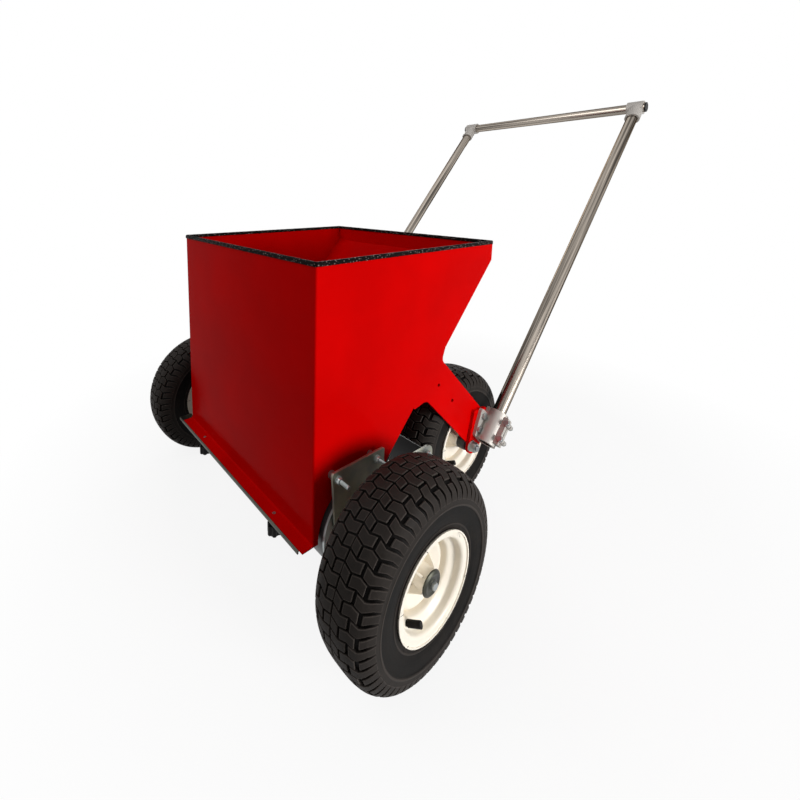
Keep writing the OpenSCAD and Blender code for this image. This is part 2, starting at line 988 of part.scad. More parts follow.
// The dished disc from the drop centre down to the hub, on its back and on its front
function disc_back() = [
  [disc_back_x - 1, well_r - rim_t],
  [disc_back_x - 1, well_r - 7],
  [disc_back_x + 8, well_r - 12],
  [disc_back_x + 8, well_r - 15],
  [disc_back_x + 1, hub_r + 13],
  [disc_back_x + 1, hub_r]
];
function disc_front() = [
  [disc_back_x + 4, hub_r],
  [disc_back_x + 4, hub_r + 12],
  [disc_back_x + 12, well_r - 16],
  [disc_back_x + 12, well_r - 10],
  [disc_back_x + 2, well_r - 5],
  [disc_back_x + 2, well_r - rim_t]
];

module rim_body(bore, pocket_r, pocket_w) {
  end_x = hub_len / 2;
  revolve_x(concat(
    rim_seat(),
    flip(rim_seat()),
    flip(rim_open()),
    disc_back(),
    [[-end_x, hub_r], [-end_x, pocket_r], [-end_x + pocket_w, pocket_r], [-end_x + pocket_w, bore]],
    [[end_x - pocket_w, bore], [end_x - pocket_w, pocket_r], [end_x, pocket_r], [end_x, hub_r]],
    disc_front(),
    rim_open()
  ));
}

module wheel_gussets() {
  for (i = [0:gusset_count - 1])
    rotate([45 + 360 / gusset_count * i, 0, 0])
      rotate([90, 0, 0])
        translate([0, 0, -2])
          linear_extrude(4)
            polygon([
              [disc_back_x + 2, hub_r - 3],
              [disc_back_x + 5 + gusset_h, hub_r - 3],
              [disc_back_x + 5 + gusset_h, hub_r + 3],
              [disc_back_x + 3, hub_r + 17],
              [disc_back_x + 2, hub_r + 17]
            ]);
}

valve_x = seat_x - bead_slope / 2;
valve_seat_r = well_r + rim_drop / 2;

module valve_place() {
  translate([valve_x, 0, 0])
    rotate([90 + valve_turn, 0, 0])
      translate([0, 0, valve_seat_r - rim_t])
        rotate([0, 90 + valve_tilt, 0])
          children();
}

module rim(bore, pocket_r, pocket_w) {
  color(cream)
    difference() {
      union() {
        rim_body(bore, pocket_r, pocket_w);
        wheel_gussets();
      }
      valve_place()
        cylinder(h = 30, r = valve_r - 1.5 + hole_gap, center = true);
    }
}

module valve_stem() {
  color(rubber_black)
    valve_place()
      union() {
        translate([0, 0, -8])
          cylinder(h = 10, r = valve_r - 1.5);
        translate([0, 0, 2])
          cylinder(h = valve_len - 3, r = valve_r);
        translate([0, 0, valve_len - 1])
          cylinder(h = 1, r1 = valve_r, r2 = valve_r - 1);
      }
}

module front_rim_place() {
  at_front_axle()
    translate([front_track_half, 0, 0])
      children();
}

module rear_rim_place() {
  at_rear_axle()
    translate([rear_track_half, 0, 0])
      children();
}

module front_rim_right() {
  front_rim_place()
    rim(axle_r + seat_gap, axle_r + 1, 1);
}

module front_rim_left() {
  left_side()
    front_rim_right();
}

bearing_w = 12;
bearing_r = 15;

module rear_rim_right() {
  rear_rim_place()
    rim(rear_axle_r + bore_gap, bearing_r + seat_gap, bearing_w);
}

module rear_rim_left() {
  left_side()
    rear_rim_right();
}

// Half section of the tyre's outside, from the bead up to the crown
crown_steps = 9;
crown_shape = 2 / 2.83;
shoulder_share = 0.74;
function tyre_outside(half, crown, shoulder, steps) = [
  for (i = [0:steps])
    let (a = 90 * i / steps)
    [half * pow(cos(a), crown_shape), shoulder + (crown - shoulder) * pow(sin(a), crown_shape)]
];
function tyre_half() = concat(
  [
    [seat_x + 1, bead_r + 0.15],
    [face_x - rim_t - 2.2, bead_r + 0.15],
    [face_x - rim_t - 0.15, bead_r + 2.2],
    [face_x - rim_t - 0.15, rim_r - 1],
    [flange_x - 1.5, rim_r + 3],
    [tyre_w / 2 - 0.4, wheel_r * 0.6],
    [tyre_w / 2 - 0.1, wheel_r * 0.67]
  ],
  tyre_outside(tyre_w / 2, wheel_r, wheel_r * shoulder_share, crown_steps)
);
function tyre_hollow() = concat(
  [[seat_x + 1, bead_r + 6], [tyre_w / 2 - side_wall, rim_r + 12]],
  tyre_outside(tyre_w / 2 - side_wall, wheel_r - tread_wall, wheel_r * shoulder_share, crown_steps - 2)
);
function drop_last(pts) = [for (i = [0:len(pts) - 2]) pts[i]];

module tyre() {
  outer = concat(tyre_half(), flip(drop_last(tyre_half())));
  inner = concat(tyre_hollow(), flip(drop_last(tyre_hollow())));
  color(tyre_black)
    revolve_x(concat(outer, reversed(inner)));
}

module front_tyre_right() {
  front_rim_place()
    tyre();
}

module front_tyre_left() {
  left_side()
    front_tyre_right();
}

module rear_tyre_right() {
  rear_rim_place()
    tyre();
}

module rear_tyre_left() {
  left_side()
    rear_tyre_right();
}

module valve_stems_front() {
  both_sides()
    front_rim_place()
      valve_stem();
}

module valve_stem_rear_right() {
  rear_rim_place()
    valve_stem();
}

module valve_stem_rear_left() {
  left_side()
    valve_stem_rear_right();
}

module hub_washers() {
  color(zinc)
    both_sides()
      at_front_axle()
        translate([front_hub_out_x, 0, 0])
          difference() {
            revolve_x([
              [0, 0], [0, hub_washer_r], [1, hub_washer_r], [hub_washer_t - 1, hub_washer_r * 0.6],
              [hub_washer_t, hub_washer_r * 0.4], [hub_washer_t, 0]
            ]);
            rod_x(-over, hub_washer_t + 2 * over, hub_bolt_r + hole_gap);
          }
}

module hub_bolts() {
  color(zinc)
    both_sides()
      at_front_axle()
        union() {
          rod_x(axle_end - hub_bolt_depth, hub_bolt_depth + 1 + hub_washer_t, hub_bolt_r);
          hex_x(front_hub_out_x + hub_washer_t, head_t8, nut_r8);
        }
}

// Rear frame
module arm_outline() {
  polygon(rounded([
    [slope_back, arm_low - arm_heel - 6, 0],
    [slope_back + 10, arm_low - arm_heel - 6, 6],
    [slope_back + arm_foot, arm_low, 26],
    [arm_reach, arm_low, 4],
    [arm_reach, arm_high, 4],
    [slope_back + 16, arm_high, 16],
    [slope_back + 3, arm_high + arm_heel, 3],
    [slope_back, arm_high + arm_heel, 0]
  ]));
}

module arm_right() {
  color(paint_red)
    difference() {
      on_slope()
        union() {
          across(arm_in_x, arm_t)
            arm_outline();
          translate([inner_x - arm_flange_w, slope_back, arm_low - arm_heel])
            cube([arm_flange_w - arm_t / 2, arm_t, arm_w + 2 * arm_heel - 10]);
        }
      on_slope()
        for (t = [arm_hole_1, arm_hole_2])
          translate([0, t, arm_hole_s])
            rod_x(arm_in_x - over, arm_t + 2 * over, arm_hole_r);
      at_rear_axle()
        rod_x(arm_in_x - over, arm_t + 2 * over, rear_axle_r + seat_gap);
      base_bolt_places()
        rod_x(arm_in_x - over, arm_t + 2 * over, base_bolt_r + seat_gap);
    }
}

module arm_left() {
  left_side()
    arm_right();
}

base_bolt_r = 5;
base_bolt_head = 6.4;
base_bolt_spots = [
  [upright_t - base_bolt_reach_high, clamp_low + base_bolt_high],
  [upright_t - base_bolt_reach_low, clamp_low + base_bolt_low]
];

module base_bolt_places() {
  for (p = base_bolt_spots)
    on_slope()
      translate([0, p[0], p[1]])
        children();
}

module axle_lug_right() {
  color(paint_red)
    difference() {
      across(inner_x, lug_t)
        translate([rear_axle_y, axle_z])
          polygon(rounded([
            [lug_top, lug_top_z, 5],
            [lug_rear, lug_rear_z, 8],
            [lug_tail, lug_tail_z, 12],
            [lug_foot, lug_foot_z, 24],
            [lug_front, lug_front_z, 22]
          ]));
      at_rear_axle()
        rod_x(inner_x - over, lug_t + 2 * over, rear_axle_r + seat_gap);
      base_bolt_places()
        rod_x(inner_x - over, lug_t + 2 * over, base_bolt_r + seat_gap);
    }
}

module axle_lug_left() {
  left_side()
    axle_lug_right();
}

rear_axle_nut_t = 13;
rear_washer_t = 3;

module rear_axle() {
  half = lug_out_x + rear_washer_t + rear_axle_nut_t + thread_out;
  color(steel)
    at_rear_axle()
      rod_x(-half, 2 * half, rear_axle_r);
}

module rear_axle_nuts() {
  color(zinc)
    both_sides()
      at_rear_axle()
        difference() {
          union() {
            rod_x(lug_out_x, rear_washer_t, nut_r16 + 1.5);
            hex_x(lug_out_x + rear_washer_t, rear_axle_nut_t, nut_r16);
          }
          rod_x(lug_out_x - over, rear_washer_t + rear_axle_nut_t + 2 * over, rear_axle_r + seat_gap);
        }
}

module rear_spacers() {
  side_gap = 0.3;
  start = rear_hub_out_x + side_gap;
  color(black_paint)
    both_sides()
      at_rear_axle()
        difference() {
          rod_x(start, arm_in_x - start, rear_spacer_r);
          rod_x(start - over, arm_in_x - start + 2 * over, rear_axle_r + seat_gap);
        }
}

module rear_collars() {
  side_gap = 0.3;
  color(zinc)
    both_sides()
      at_rear_axle()
        difference() {
          rod_x(rear_hub_in_x - side_gap - collar_w, collar_w, rear_axle_r + 8);
          rod_x(rear_hub_in_x - side_gap - collar_w - over, collar_w + 2 * over, rear_axle_r + seat_gap);
        }
}

module rear_bearings_right() {
  color(steel)
    rear_rim_place()
      both_sides()
        difference() {
          rod_x(hub_len / 2 - bearing_w, bearing_w, bearing_r);
          rod_x(hub_len / 2 - bearing_w - over, bearing_w + 2 * over, rear_axle_r + run_gap);
        }
}

module rear_bearings_left() {
  left_side()
    rear_bearings_right();
}

// Handle
module upright_place() {
  on_slope()
    translate([upright_x, upright_t, 0])
      children();
}

clamp_mid = clamp_low + clamp_len / 2;
clamp_bolt_x = ear_out + 1;
ear_boss_r = 7;
clamp_bolt_r = 4;

module clamp_bolt_places() {
  for (s = [-clamp_bolt_gap / 2, clamp_bolt_gap / 2])
    upright_place()
      translate([clamp_bolt_x, 0, clamp_mid + s])
        children();
}

module handle_clamp_right() {
  base_depth = upright_x - lug_out_x;
  color(cast_grey)
    difference() {
      union() {
        upright_place()
          translate([0, 0, clamp_low])
            cylinder(h = clamp_len, r = clamp_r);
        upright_place()
          translate([0, -ear_half, clamp_low + 8])
            cube([ear_out, 2 * ear_half, clamp_len - 16]);
        clamp_bolt_places()
          rotate([90, 0, 0])
            cylinder(h = 2 * ear_half, r = ear_boss_r, center = true);
        upright_place()
          translate([-base_depth, -clamp_r * 0.8, clamp_low])
            cube([base_depth, clamp_r * 1.6, clamp_len]);
        on_slope()
          across(lug_out_x, clamp_base_t)
            polygon(rounded([
              [upright_t - base_reach_high, clamp_low + base_high, 8],
              [upright_t + clamp_r * 0.8, clamp_low + base_high, 8],
              [upright_t + clamp_r * 0.8, clamp_low, 4],
              [upright_t - base_reach_low, clamp_low, 6]
            ]));
      }
      upright_place()
        translate([0, 0, clamp_low - over])
          cylinder(h = clamp_len + 2 * over, r = tube_r + clamp_clearance);
      upright_place()
        translate([0, -slit_w / 2, clamp_low - over])
          cube([clamp_bolt_x + ear_boss_r + over, slit_w, clamp_len + 2 * over]);
      clamp_bolt_places()
        rotate([90, 0, 0])
          cylinder(h = 4 * ear_half, r = clamp_bolt_r + hole_gap, center = true);
      base_bolt_places()
        rod_x(lug_out_x - over, clamp_base_t + 2 * over, base_bolt_r + hole_gap);
      base_bolt_places()
        rod_x(lug_out_x + clamp_base_t, base_bolt_head + 0.6, nut_r10 + 1.5);
    }
}

module handle_clamp_left() {
  left_side()
    handle_clamp_right();
}

module clamp_bolts() {
  color(zinc)
    both_sides()
      clamp_bolt_places()
        rotate([90, 0, 0])
          union() {
            translate([0, 0, -ear_half - nut_t8 - thread_out])
              cylinder(h = 2 * ear_half + nut_t8 + thread_out, r = clamp_bolt_r);
            translate([0, 0, ear_half])
              cylinder(h = head_t8, r = nut_r8, $fn = 6);
            translate([0, 0, -ear_half - nut_t8])
              cylinder(h = nut_t8, r = nut_r8, $fn = 6);
          }
}

module clamp_base_bolts() {
  color(zinc)
    both_sides()
      base_bolt_places()
        union() {
          rod_x(arm_in_x - 1, lug_out_x + clamp_base_t - arm_in_x + 1, base_bolt_r);
          hex_x(lug_out_x + clamp_base_t, base_bolt_head, nut_r10);
        }
}

tube_top = bar_s - tube_r - 2;

module handle_tube_right() {
  color(stainless)
    upright_place()
      difference() {
        translate([0, 0, clamp_low])
          cylinder(h = tube_top - clamp_low, r = tube_r);
        translate([0, 0, clamp_low - over])
          cylinder(h = tube_top - clamp_low + 2 * over, r = tube_r - tube_wall);
      }
}

module handle_tube_left() {
  left_side()
    handle_tube_right();
}

bar_half = upright_x + bar_over;

module at_bar() {
  on_slope()
    translate([0, upright_t, bar_s])
      children();
}

module handle_bar() {
  color(stainless)
    at_bar()
      difference() {
        rod_x(-bar_half, 2 * bar_half, tube_r);
        rod_x(-bar_half - over, 2 * bar_half + 2 * over, tube_r - tube_wall);
      }
}

module handle_fitting_right() {
  inner_edge = upright_x + tube_r + 3.5 - fitting_w;
  color(cast_grey)
  difference() {
    union() {
      at_bar()
        rod_x(inner_edge, fitting_w, fitting_r);
      upright_place()
        translate([0, 0, bar_s - fitting_drop])
          cylinder(h = fitting_drop, r = fitting_r - 1);
      on_slope()
        across(upright_x - web_t / 2, web_t)
          polygon([
            [upright_t, bar_s - fitting_drop + 4],
            [upright_t + fitting_r - 3, bar_s - fitting_drop - web_len],
            [upright_t + fitting_r - 1, bar_s - fitting_drop - web_len],
            [upright_t + fitting_r - 1, bar_s],
            [upright_t, bar_s]
          ]);
    }
    at_bar()
      rod_x(-bar_half - over, 2 * bar_half + 2 * over, tube_r + seat_gap);
    upright_place()
      cylinder(h = bar_s, r = tube_r + seat_gap);
    fitting_screw_places()
      cylinder(h = 12, r = screw_r + seat_gap);
  }
}

module handle_fitting_left() {
  left_side()
    handle_fitting_right();
}

screw_r = 3;
screw_drop = 40;

module fitting_screw_places() {
  upright_place()
    translate([0, 0, bar_s - screw_drop])
      rotate([0, 90, 0])
        translate([0, 0, tube_r + 0.4])
          children();
  upright_place()
    translate([0, 0, bar_s - screw_drop + 15])
      rotate([0, 90, 0])
        translate([0, 0, tube_r + 0.4])
          children();
}

module fitting_screws() {
  color(steel)
    both_sides()
      fitting_screw_places()
        cylinder(h = fitting_r - tube_r - 1.4, r = screw_r);
}

module bar_caps() {
  cap_t = 4;
  cap_in = 14;
  color(black_paint)
    both_sides()
      at_bar()
        union() {
          rod_x(bar_half, cap_t, tube_r);
          rod_x(bar_half - cap_in, cap_in, tube_r - tube_wall - seat_gap);
        }
}

hopper_body();
hopper_back();
rim_trim();
wiper_strip();
wiper_bar();
wiper_bolts();
gate_plate();
gate_edge();
gate_studs();
gate_knob_left();
gate_knob_right();
front_axle();
drum_shell();
drum_disc_left();
drum_disc_right();
axle_plate_left();
axle_plate_right();
plate_bolts();
plate_spacers();
front_bearing_left();
front_bearing_right();
bearing_rings();
bearing_bolts();
cross_plate();
cross_bolts();
front_spacers();
front_rim_left();
front_rim_right();
front_tyre_left();
front_tyre_right();
rear_rim_left();
rear_rim_right();
rear_tyre_left();
rear_tyre_right();
valve_stems_front();
valve_stem_rear_left();
valve_stem_rear_right();
hub_washers();
hub_bolts();
arm_left();
arm_right();
axle_lug_left();
axle_lug_right();
rear_axle();
rear_axle_nuts();
rear_spacers();
rear_collars();
rear_bearings_left();
rear_bearings_right();
handle_clamp_left();
handle_clamp_right();
clamp_bolts();
clamp_base_bolts();
handle_tube_left();
handle_tube_right();
handle_bar();
handle_fitting_left();
handle_fitting_right();
fitting_screws();
bar_caps();
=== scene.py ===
"""Walk-behind lawn topdresser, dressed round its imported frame.

Shapes are worked out in millimetres in the frame's own axes, X across the machine,
Y from the hopper's front wall to the handle and Z up, and become metres in their meshes.
"""

import json
import math
from bisect import bisect

import bmesh
import bpy
from bpy.props import FloatProperty, FloatVectorProperty, IntProperty, PointerProperty
from mathutils import Matrix, Vector, noise

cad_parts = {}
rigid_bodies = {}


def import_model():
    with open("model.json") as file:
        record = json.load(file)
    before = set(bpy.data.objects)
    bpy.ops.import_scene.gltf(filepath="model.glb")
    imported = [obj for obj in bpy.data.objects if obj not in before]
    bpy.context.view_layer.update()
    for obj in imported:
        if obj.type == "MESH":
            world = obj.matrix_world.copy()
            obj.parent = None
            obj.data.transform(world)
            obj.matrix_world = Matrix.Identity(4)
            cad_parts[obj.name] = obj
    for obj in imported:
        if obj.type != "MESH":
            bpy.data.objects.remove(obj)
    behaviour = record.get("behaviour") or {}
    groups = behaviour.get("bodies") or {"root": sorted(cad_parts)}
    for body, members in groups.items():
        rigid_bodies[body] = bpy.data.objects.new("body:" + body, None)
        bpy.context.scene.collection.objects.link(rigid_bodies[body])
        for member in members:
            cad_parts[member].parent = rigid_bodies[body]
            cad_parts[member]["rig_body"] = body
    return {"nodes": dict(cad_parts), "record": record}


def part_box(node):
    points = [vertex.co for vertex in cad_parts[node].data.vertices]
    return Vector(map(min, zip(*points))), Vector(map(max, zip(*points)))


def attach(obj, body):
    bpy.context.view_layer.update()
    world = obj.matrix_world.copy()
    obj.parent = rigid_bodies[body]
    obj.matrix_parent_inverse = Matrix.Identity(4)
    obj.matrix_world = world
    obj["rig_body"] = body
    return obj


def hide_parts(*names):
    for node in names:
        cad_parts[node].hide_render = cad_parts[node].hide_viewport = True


bl_info = {
    "name": "Lawn topdresser",
    "version": (1, 0, 0),
    "blender": (4, 5, 0),
    "location": "View3D > Sidebar > Topdresser",
    "description": "Dresses the packed frame of a walk-behind lawn topdresser",
    "category": "Object",
}

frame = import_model()

MM = 0.001
# The point attribute of painted light on the rubber: painted shade at 0 in the grooves, painted highlight at
# 1 on the block edges
SHADE_AND_HIGHLIGHT = "shade_and_highlight"
SLOT_OF = {part["node"]: part["material_slot"] for part in frame["record"]["subparts"]}


def linear(hex_colour):
    """A #rrggbb colour as the linear RGBA that shaders take."""
    channels = [int(hex_colour[i : i + 2], 16) / 255 for i in (1, 3, 5)]
    return (*(c / 12.92 if c <= 0.04045 else ((c + 0.055) / 1.055) ** 2.4 for c in channels), 1.0)


def reach(node):
    """A node's lowest and highest corners in millimetres."""
    low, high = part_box(node)
    return low / MM, high / MM


def middle(node):
    """The middle of a node's box in millimetres."""
    low, high = reach(node)
    return (low + high) / 2


def colour_setting(name, description, hex_colour):
    """A colour that a user can change."""
    return FloatVectorProperty(
        name=name, description=description, subtype="COLOR", size=4, min=0, max=1, default=linear(hex_colour)
    )


def length_setting(name, description, millimetres):
    """A length that a user can change."""
    return FloatProperty(name=name, description=description, unit="LENGTH", min=0, default=millimetres * MM)


TYRE_LOW, TYRE_HIGH = reach("front_tyre_right")
TUBE_LOW, TUBE_HIGH = reach("handle_tube_right")
UPRIGHT_SLOPE = math.atan2(TUBE_HIGH.z - TUBE_LOW.z, TUBE_HIGH.y - TUBE_LOW.y)


class TopdresserSizes(bpy.types.PropertyGroup):
    """Sizes of the dressed pieces."""

    tyre_radius: length_setting("Tyre radius", "Over the tread", (TYRE_HIGH.z - TYRE_LOW.z) / 2)
    tyre_width: length_setting("Tyre width", "Over the side walls", TYRE_HIGH.x - TYRE_LOW.x)
    tread_depth: length_setting("Tread depth", "From the block tops to the groove floor", 5.0)
    sipe_width: length_setting("Cross groove width", "Between neighbouring tread blocks", 3.2)
    tread_swing: length_setting("Tread swing", "How far the cross grooves zigzag", 3.1)
    tread_pitches: IntProperty(name="Tread pitches", description="Repeats round the tyre", min=8, default=29)
    sheet: length_setting("Rim sheet", "Thickness of the pressed rim", 2.6)
    trim_pebble: length_setting("Trim pebble", "Size of the grain on the edge trim", 3.0)
    thread_pitch: length_setting("Thread pitch", "Of the M8 fasteners, drawn coarse so that it shows", 2.4)


class TopdresserColours(bpy.types.PropertyGroup):
    """Colours of the finishes."""

    paint: colour_setting("Paint", "Hopper, arms and lugs", "#cc0202")
    enamel: colour_setting("Enamel", "Wheel rims", "#f2eadb")
    rubber: colour_setting("Tyre rubber", "Tyres", "#1d1a18")
    trim: colour_setting("Edge rubber", "Edge trim, wiper and valve stems", "#110e0d")
    black: colour_setting("Black powder coat", "Drum, cross plate and spacers", "#1c1c1d")
    plastic: colour_setting("Black plastic", "Knobs and end caps", "#151515")
    casting: colour_setting("Cast aluminium", "Clamps, corner fittings and bearing housings", "#b3aea8")
    tube: colour_setting("Stainless tube", "Handle", "#8d857c")
    steel: colour_setting("Turned steel", "Axles and bearing rings", "#9a9c9f")
    zinc: colour_setting("Bright zinc", "Fasteners", "#a7acad")
    sheet_zinc: colour_setting("Dull zinc", "Axle plates, gate strip and hub washers", "#82847f")


def sizes():
    """The sizes that the pieces are made with."""
    return bpy.context.scene.topdresser_sizes


def colours():
    """The colours that the finishes are made with."""
    return bpy.context.scene.topdresser_colours


# Materials


def add(tree, kind, inputs=None, **settings):
    """Adds one node with its settings; inputs hold socket values or the sockets to link."""
    node = tree.nodes.new(kind)
    for field, value in settings.items():
        setattr(node, field, value)
    for socket, value in (inputs or {}).items():
        if isinstance(value, bpy.types.NodeSocket):
            tree.links.new(value, node.inputs[socket])
        else:
            node.inputs[socket].default_value = value
    return node


def per(millimetres):
    """The texture scale at which a pattern's features are this far apart."""
    return 1 / (millimetres * MM)


def times(colour, *factors):
    """A colour made lighter or darker, by one factor or by one for each channel."""
    factors = factors if len(factors) > 1 else factors * 3
    return (*(min(1.0, c * f) for c, f in zip(colour, factors)), 1.0)


def new_surface(name, **values):
    """A material with one shader whose even values are set on its own sockets."""
    material = bpy.data.materials.new(name)
    material.use_nodes = True
    tree = material.node_tree
    shader = tree.nodes["Principled BSDF"]
    for socket, value in values.items():
        shader.inputs[socket.replace("_", " ").title().replace("Ior", "IOR")].default_value = value
    place = add(tree, "ShaderNodeTexCoord").outputs["Object"]
    return material, tree, shader, place


def dress(surface, colour, rough=None, relief=None):
    """Ties a surface to its patterns and gives the material.

    colour is (pattern, one, two), rough is (pattern, from, to, lowest, highest), and
    relief is (pattern, strength, millimetres), with True after them where it points inwards.
    """
    material, tree, shader, _ = surface
    pattern, one, two = colour
    mixed = add(tree, "ShaderNodeMix", {0: pattern, 6: one, 7: two}, data_type="RGBA")
    tree.links.new(mixed.outputs[2], shader.inputs["Base Color"])
    if rough:
        spread = add(tree, "ShaderNodeMapRange", dict(enumerate(rough)))
        tree.links.new(spread.outputs[0], shader.inputs["Roughness"])
    if relief:
        pattern, strength, depth, *inwards = relief
        sunk = {"Strength": strength, "Distance": depth * MM, "Height": pattern}
        bump = add(tree, "ShaderNodeBump", sunk, invert=bool(inwards))
        tree.links.new(bump.outputs[0], shader.inputs["Normal"])
    return material


def gloss_red_powder_coat():
    """Powder coat baked on sheet steel: hard and even over a faint orange peel, duller where soil rubs."""
    surface = _, tree, _, place = new_surface("gloss_red_powder_coat", specular_ior_level=0.006)
    paint = colours().paint
    # The peel is 2 mm apart in life, and is drawn at 4 mm so that it shows
    peel = add(tree, "ShaderNodeTexNoise", {"Vector": place, "Scale": per(4), "Detail": 2.0})
    cloud = add(tree, "ShaderNodeTexNoise", {"Vector": place, "Scale": per(170), "Detail": 4.0})
    dust = add(tree, "ShaderNodeMapRange", {0: cloud.outputs["Fac"], 1: 0.35, 2: 0.7, 3: 0.0, 4: 1.0})
    return dress(
        surface,
        colour=(dust.outputs[0], times(paint, 0.9), times(paint, 1.06)),
        rough=(cloud.outputs["Fac"], 0.3, 0.75, 0.16, 0.26),
        relief=(peel.outputs["Fac"], 0.12, 0.1),
    )


def cream_wheel_enamel():
    """Enamel sprayed on pressed wheels: warm off-white, softly glossy, with a little grime in patches."""
    surface = _, tree, _, place = new_surface("cream_wheel_enamel", coat_weight=0.2, coat_roughness=0.2)
    enamel = tuple(colours().enamel)
    cloud = add(
        tree, "ShaderNodeTexNoise", {"Vector": place, "Scale": per(35), "Detail": 5.0, "Roughness": 0.6}
    )
    grime = add(tree, "ShaderNodeMapRange", {0: cloud.outputs["Fac"], 1: 0.55, 2: 0.8, 3: 0.0, 4: 0.5})
    peel = add(tree, "ShaderNodeTexNoise", {"Vector": place, "Scale": per(5), "Detail": 1.0})
    return dress(
        surface,
        colour=(grime.outputs[0], enamel, times(enamel, 0.86, 0.82, 0.74)),
        rough=(cloud.outputs["Fac"], 0.3, 0.8, 0.3, 0.5),
        relief=(peel.outputs["Fac"], 0.2, 0.12),
    )


def moulded_tyre_rubber():
    """Carbon-black rubber from a steel mould: brownish and dry, with mould grain, a patchy pale bloom, and
    painted shade in its grooves with painted highlights on its block edges.
    """
    surface = _, tree, _, place = new_surface("moulded_tyre_rubber", specular_ior_level=0.05)
    rubber = colours().rubber
    bloom = add(
        tree, "ShaderNodeTexNoise", {"Vector": place, "Scale": per(25), "Detail": 6.0, "Roughness": 0.7}
    )
    # The rubber's colour also carries painted light: dark in the grooves, pale on the block edges and raised
    # rings
    lit_and_shaded = add(tree, "ShaderNodeAttribute", attribute_name=SHADE_AND_HIGHLIGHT)
    patchy = add(tree, "ShaderNodeMapRange", {0: bloom.outputs["Fac"], 1: 0.3, 2: 0.7, 3: -0.12, 4: 0.12})
    both = {0: lit_and_shaded.outputs["Fac"], 1: patchy.outputs[0]}
    amount = add(tree, "ShaderNodeMath", both, operation="ADD", use_clamp=True)
    # Mould grain of 0.8 mm, drawn at 2 mm so that it shows
    grain = add(tree, "ShaderNodeTexNoise", {"Vector": place, "Scale": per(2), "Detail": 3.0})
    return dress(
        surface,
        colour=(amount.outputs[0], times(rubber, 0.2), times(rubber, 4.6)),
        rough=(bloom.outputs["Fac"], 0.3, 0.8, 0.48, 0.66),
        relief=(grain.outputs["Fac"], 0.45, 0.25),
    )


def pebbled_edge_rubber():
    """Extruded edge trim with a pressed leather grain: near black, with small glints painted on its pebbles
    as highlights.
    """
    surface = _, tree, _, place = new_surface("pebbled_edge_rubber", specular_ior_level=0.03)
    rubber = colours().trim
    # Pebbles of 3 mm, drawn at 5 mm so that they show
    cells = add(tree, "ShaderNodeTexVoronoi", {"Vector": place, "Scale": per(5)})
    # Painted highlights: the middles of the cells are painted far paler, as glints
    painted_glint = add(tree, "ShaderNodeMapRange", {0: cells.outputs["Distance"], 1: 0.1, 2: 0.34, 3: 0.0, 4: 1.0})
    return dress(
        surface,
        colour=(painted_glint.outputs[0], times(rubber, 48), times(rubber, 0.5)),
        rough=(cells.outputs["Distance"], 0.0, 0.7, 0.34, 0.6),
        relief=(cells.outputs["Distance"], 0.6, 0.5, True),
    )


def soft_wiper_rubber():
    """Cut rubber sheet: flat black, dusty along the edge that rubs on the drum."""
    surface = _, tree, _, place = new_surface("soft_wiper_rubber", roughness=0.75)
    rubber = colours().trim
    dust = add(tree, "ShaderNodeTexNoise", {"Vector": place, "Scale": per(12), "Detail": 5.0}).outputs["Fac"]
    return dress(surface, (dust, times(rubber, 0.7), times(rubber, 2.2)), relief=(dust, 0.3, 0.3))


def smooth_valve_rubber():
    """Valve rubber from a polished mould: black and plain, with a soft sheen and a trace of dust."""
    surface = _, tree, _, place = new_surface("smooth_valve_rubber", specular_ior_level=0.12)
    rubber = colours().trim
    dust = add(tree, "ShaderNodeTexNoise", {"Vector": place, "Scale": per(6), "Detail": 4.0}).outputs["Fac"]
    return dress(surface, (dust, times(rubber, 0.6), times(rubber, 1.7)), rough=(dust, 0.3, 0.7, 0.4, 0.6))


def black_powder_coat():
    """Fine-textured black powder coat: satin, with a grain that breaks its highlights up."""
    surface = _, tree, _, place = new_surface("black_powder_coat")
    black = colours().black
    grain = add(tree, "ShaderNodeTexNoise", {"Vector": place, "Scale": per(2.2), "Detail": 3.0})
    wear = add(tree, "ShaderNodeTexNoise", {"Vector": place, "Scale": per(70), "Detail": 5.0})
    return dress(
        surface,
        colour=(wear.outputs["Fac"], times(black, 0.7), times(black, 1.7)),
        rough=(wear.outputs["Fac"], 0.3, 0.7, 0.34, 0.5),
        relief=(grain.outputs["Fac"], 0.4, 0.2),
    )


def moulded_black_nylon():
    """Injection-moulded nylon with a spark-eroded texture: satin black, a soft even highlight."""
    surface = _, tree, _, place = new_surface("moulded_black_nylon", specular_ior_level=0.1)
    plastic = tuple(colours().plastic)
    spark = add(
        tree, "ShaderNodeTexNoise", {"Vector": place, "Scale": per(1.2), "Detail": 2.0}
    ).outputs["Fac"]
    return dress(
        surface,
        colour=(spark, times(plastic, 0.4), plastic),
        rough=(spark, 0.3, 0.7, 0.36, 0.5),
        relief=(spark, 0.3, 0.1),
    )


def tumbled_cast_aluminium():
    """Pressure-cast aluminium, tumbled: pale grey, satin, with a sandy grain and darker pits.

    Tumbling breaks its mirror up, so that half of its shine is spread out as on paint.
    """
    surface = _, tree, _, place = new_surface("tumbled_cast_aluminium", metallic=0.45)
    metal = tuple(colours().casting)
    grain = add(
        tree, "ShaderNodeTexNoise", {"Vector": place, "Scale": per(1.6), "Detail": 4.0, "Roughness": 0.6}
    )
    pits = add(tree, "ShaderNodeTexVoronoi", {"Vector": place, "Scale": per(5)})
    deep = add(tree, "ShaderNodeMapRange", {0: pits.outputs["Distance"], 1: 0.05, 2: 0.22, 3: 0.55, 4: 0.0})
    return dress(
        surface,
        colour=(deep.outputs[0], metal, times(metal, 0.45)),
        rough=(grain.outputs["Fac"], 0.3, 0.7, 0.46, 0.66),
        relief=(grain.outputs["Fac"], 0.5, 0.2),
    )


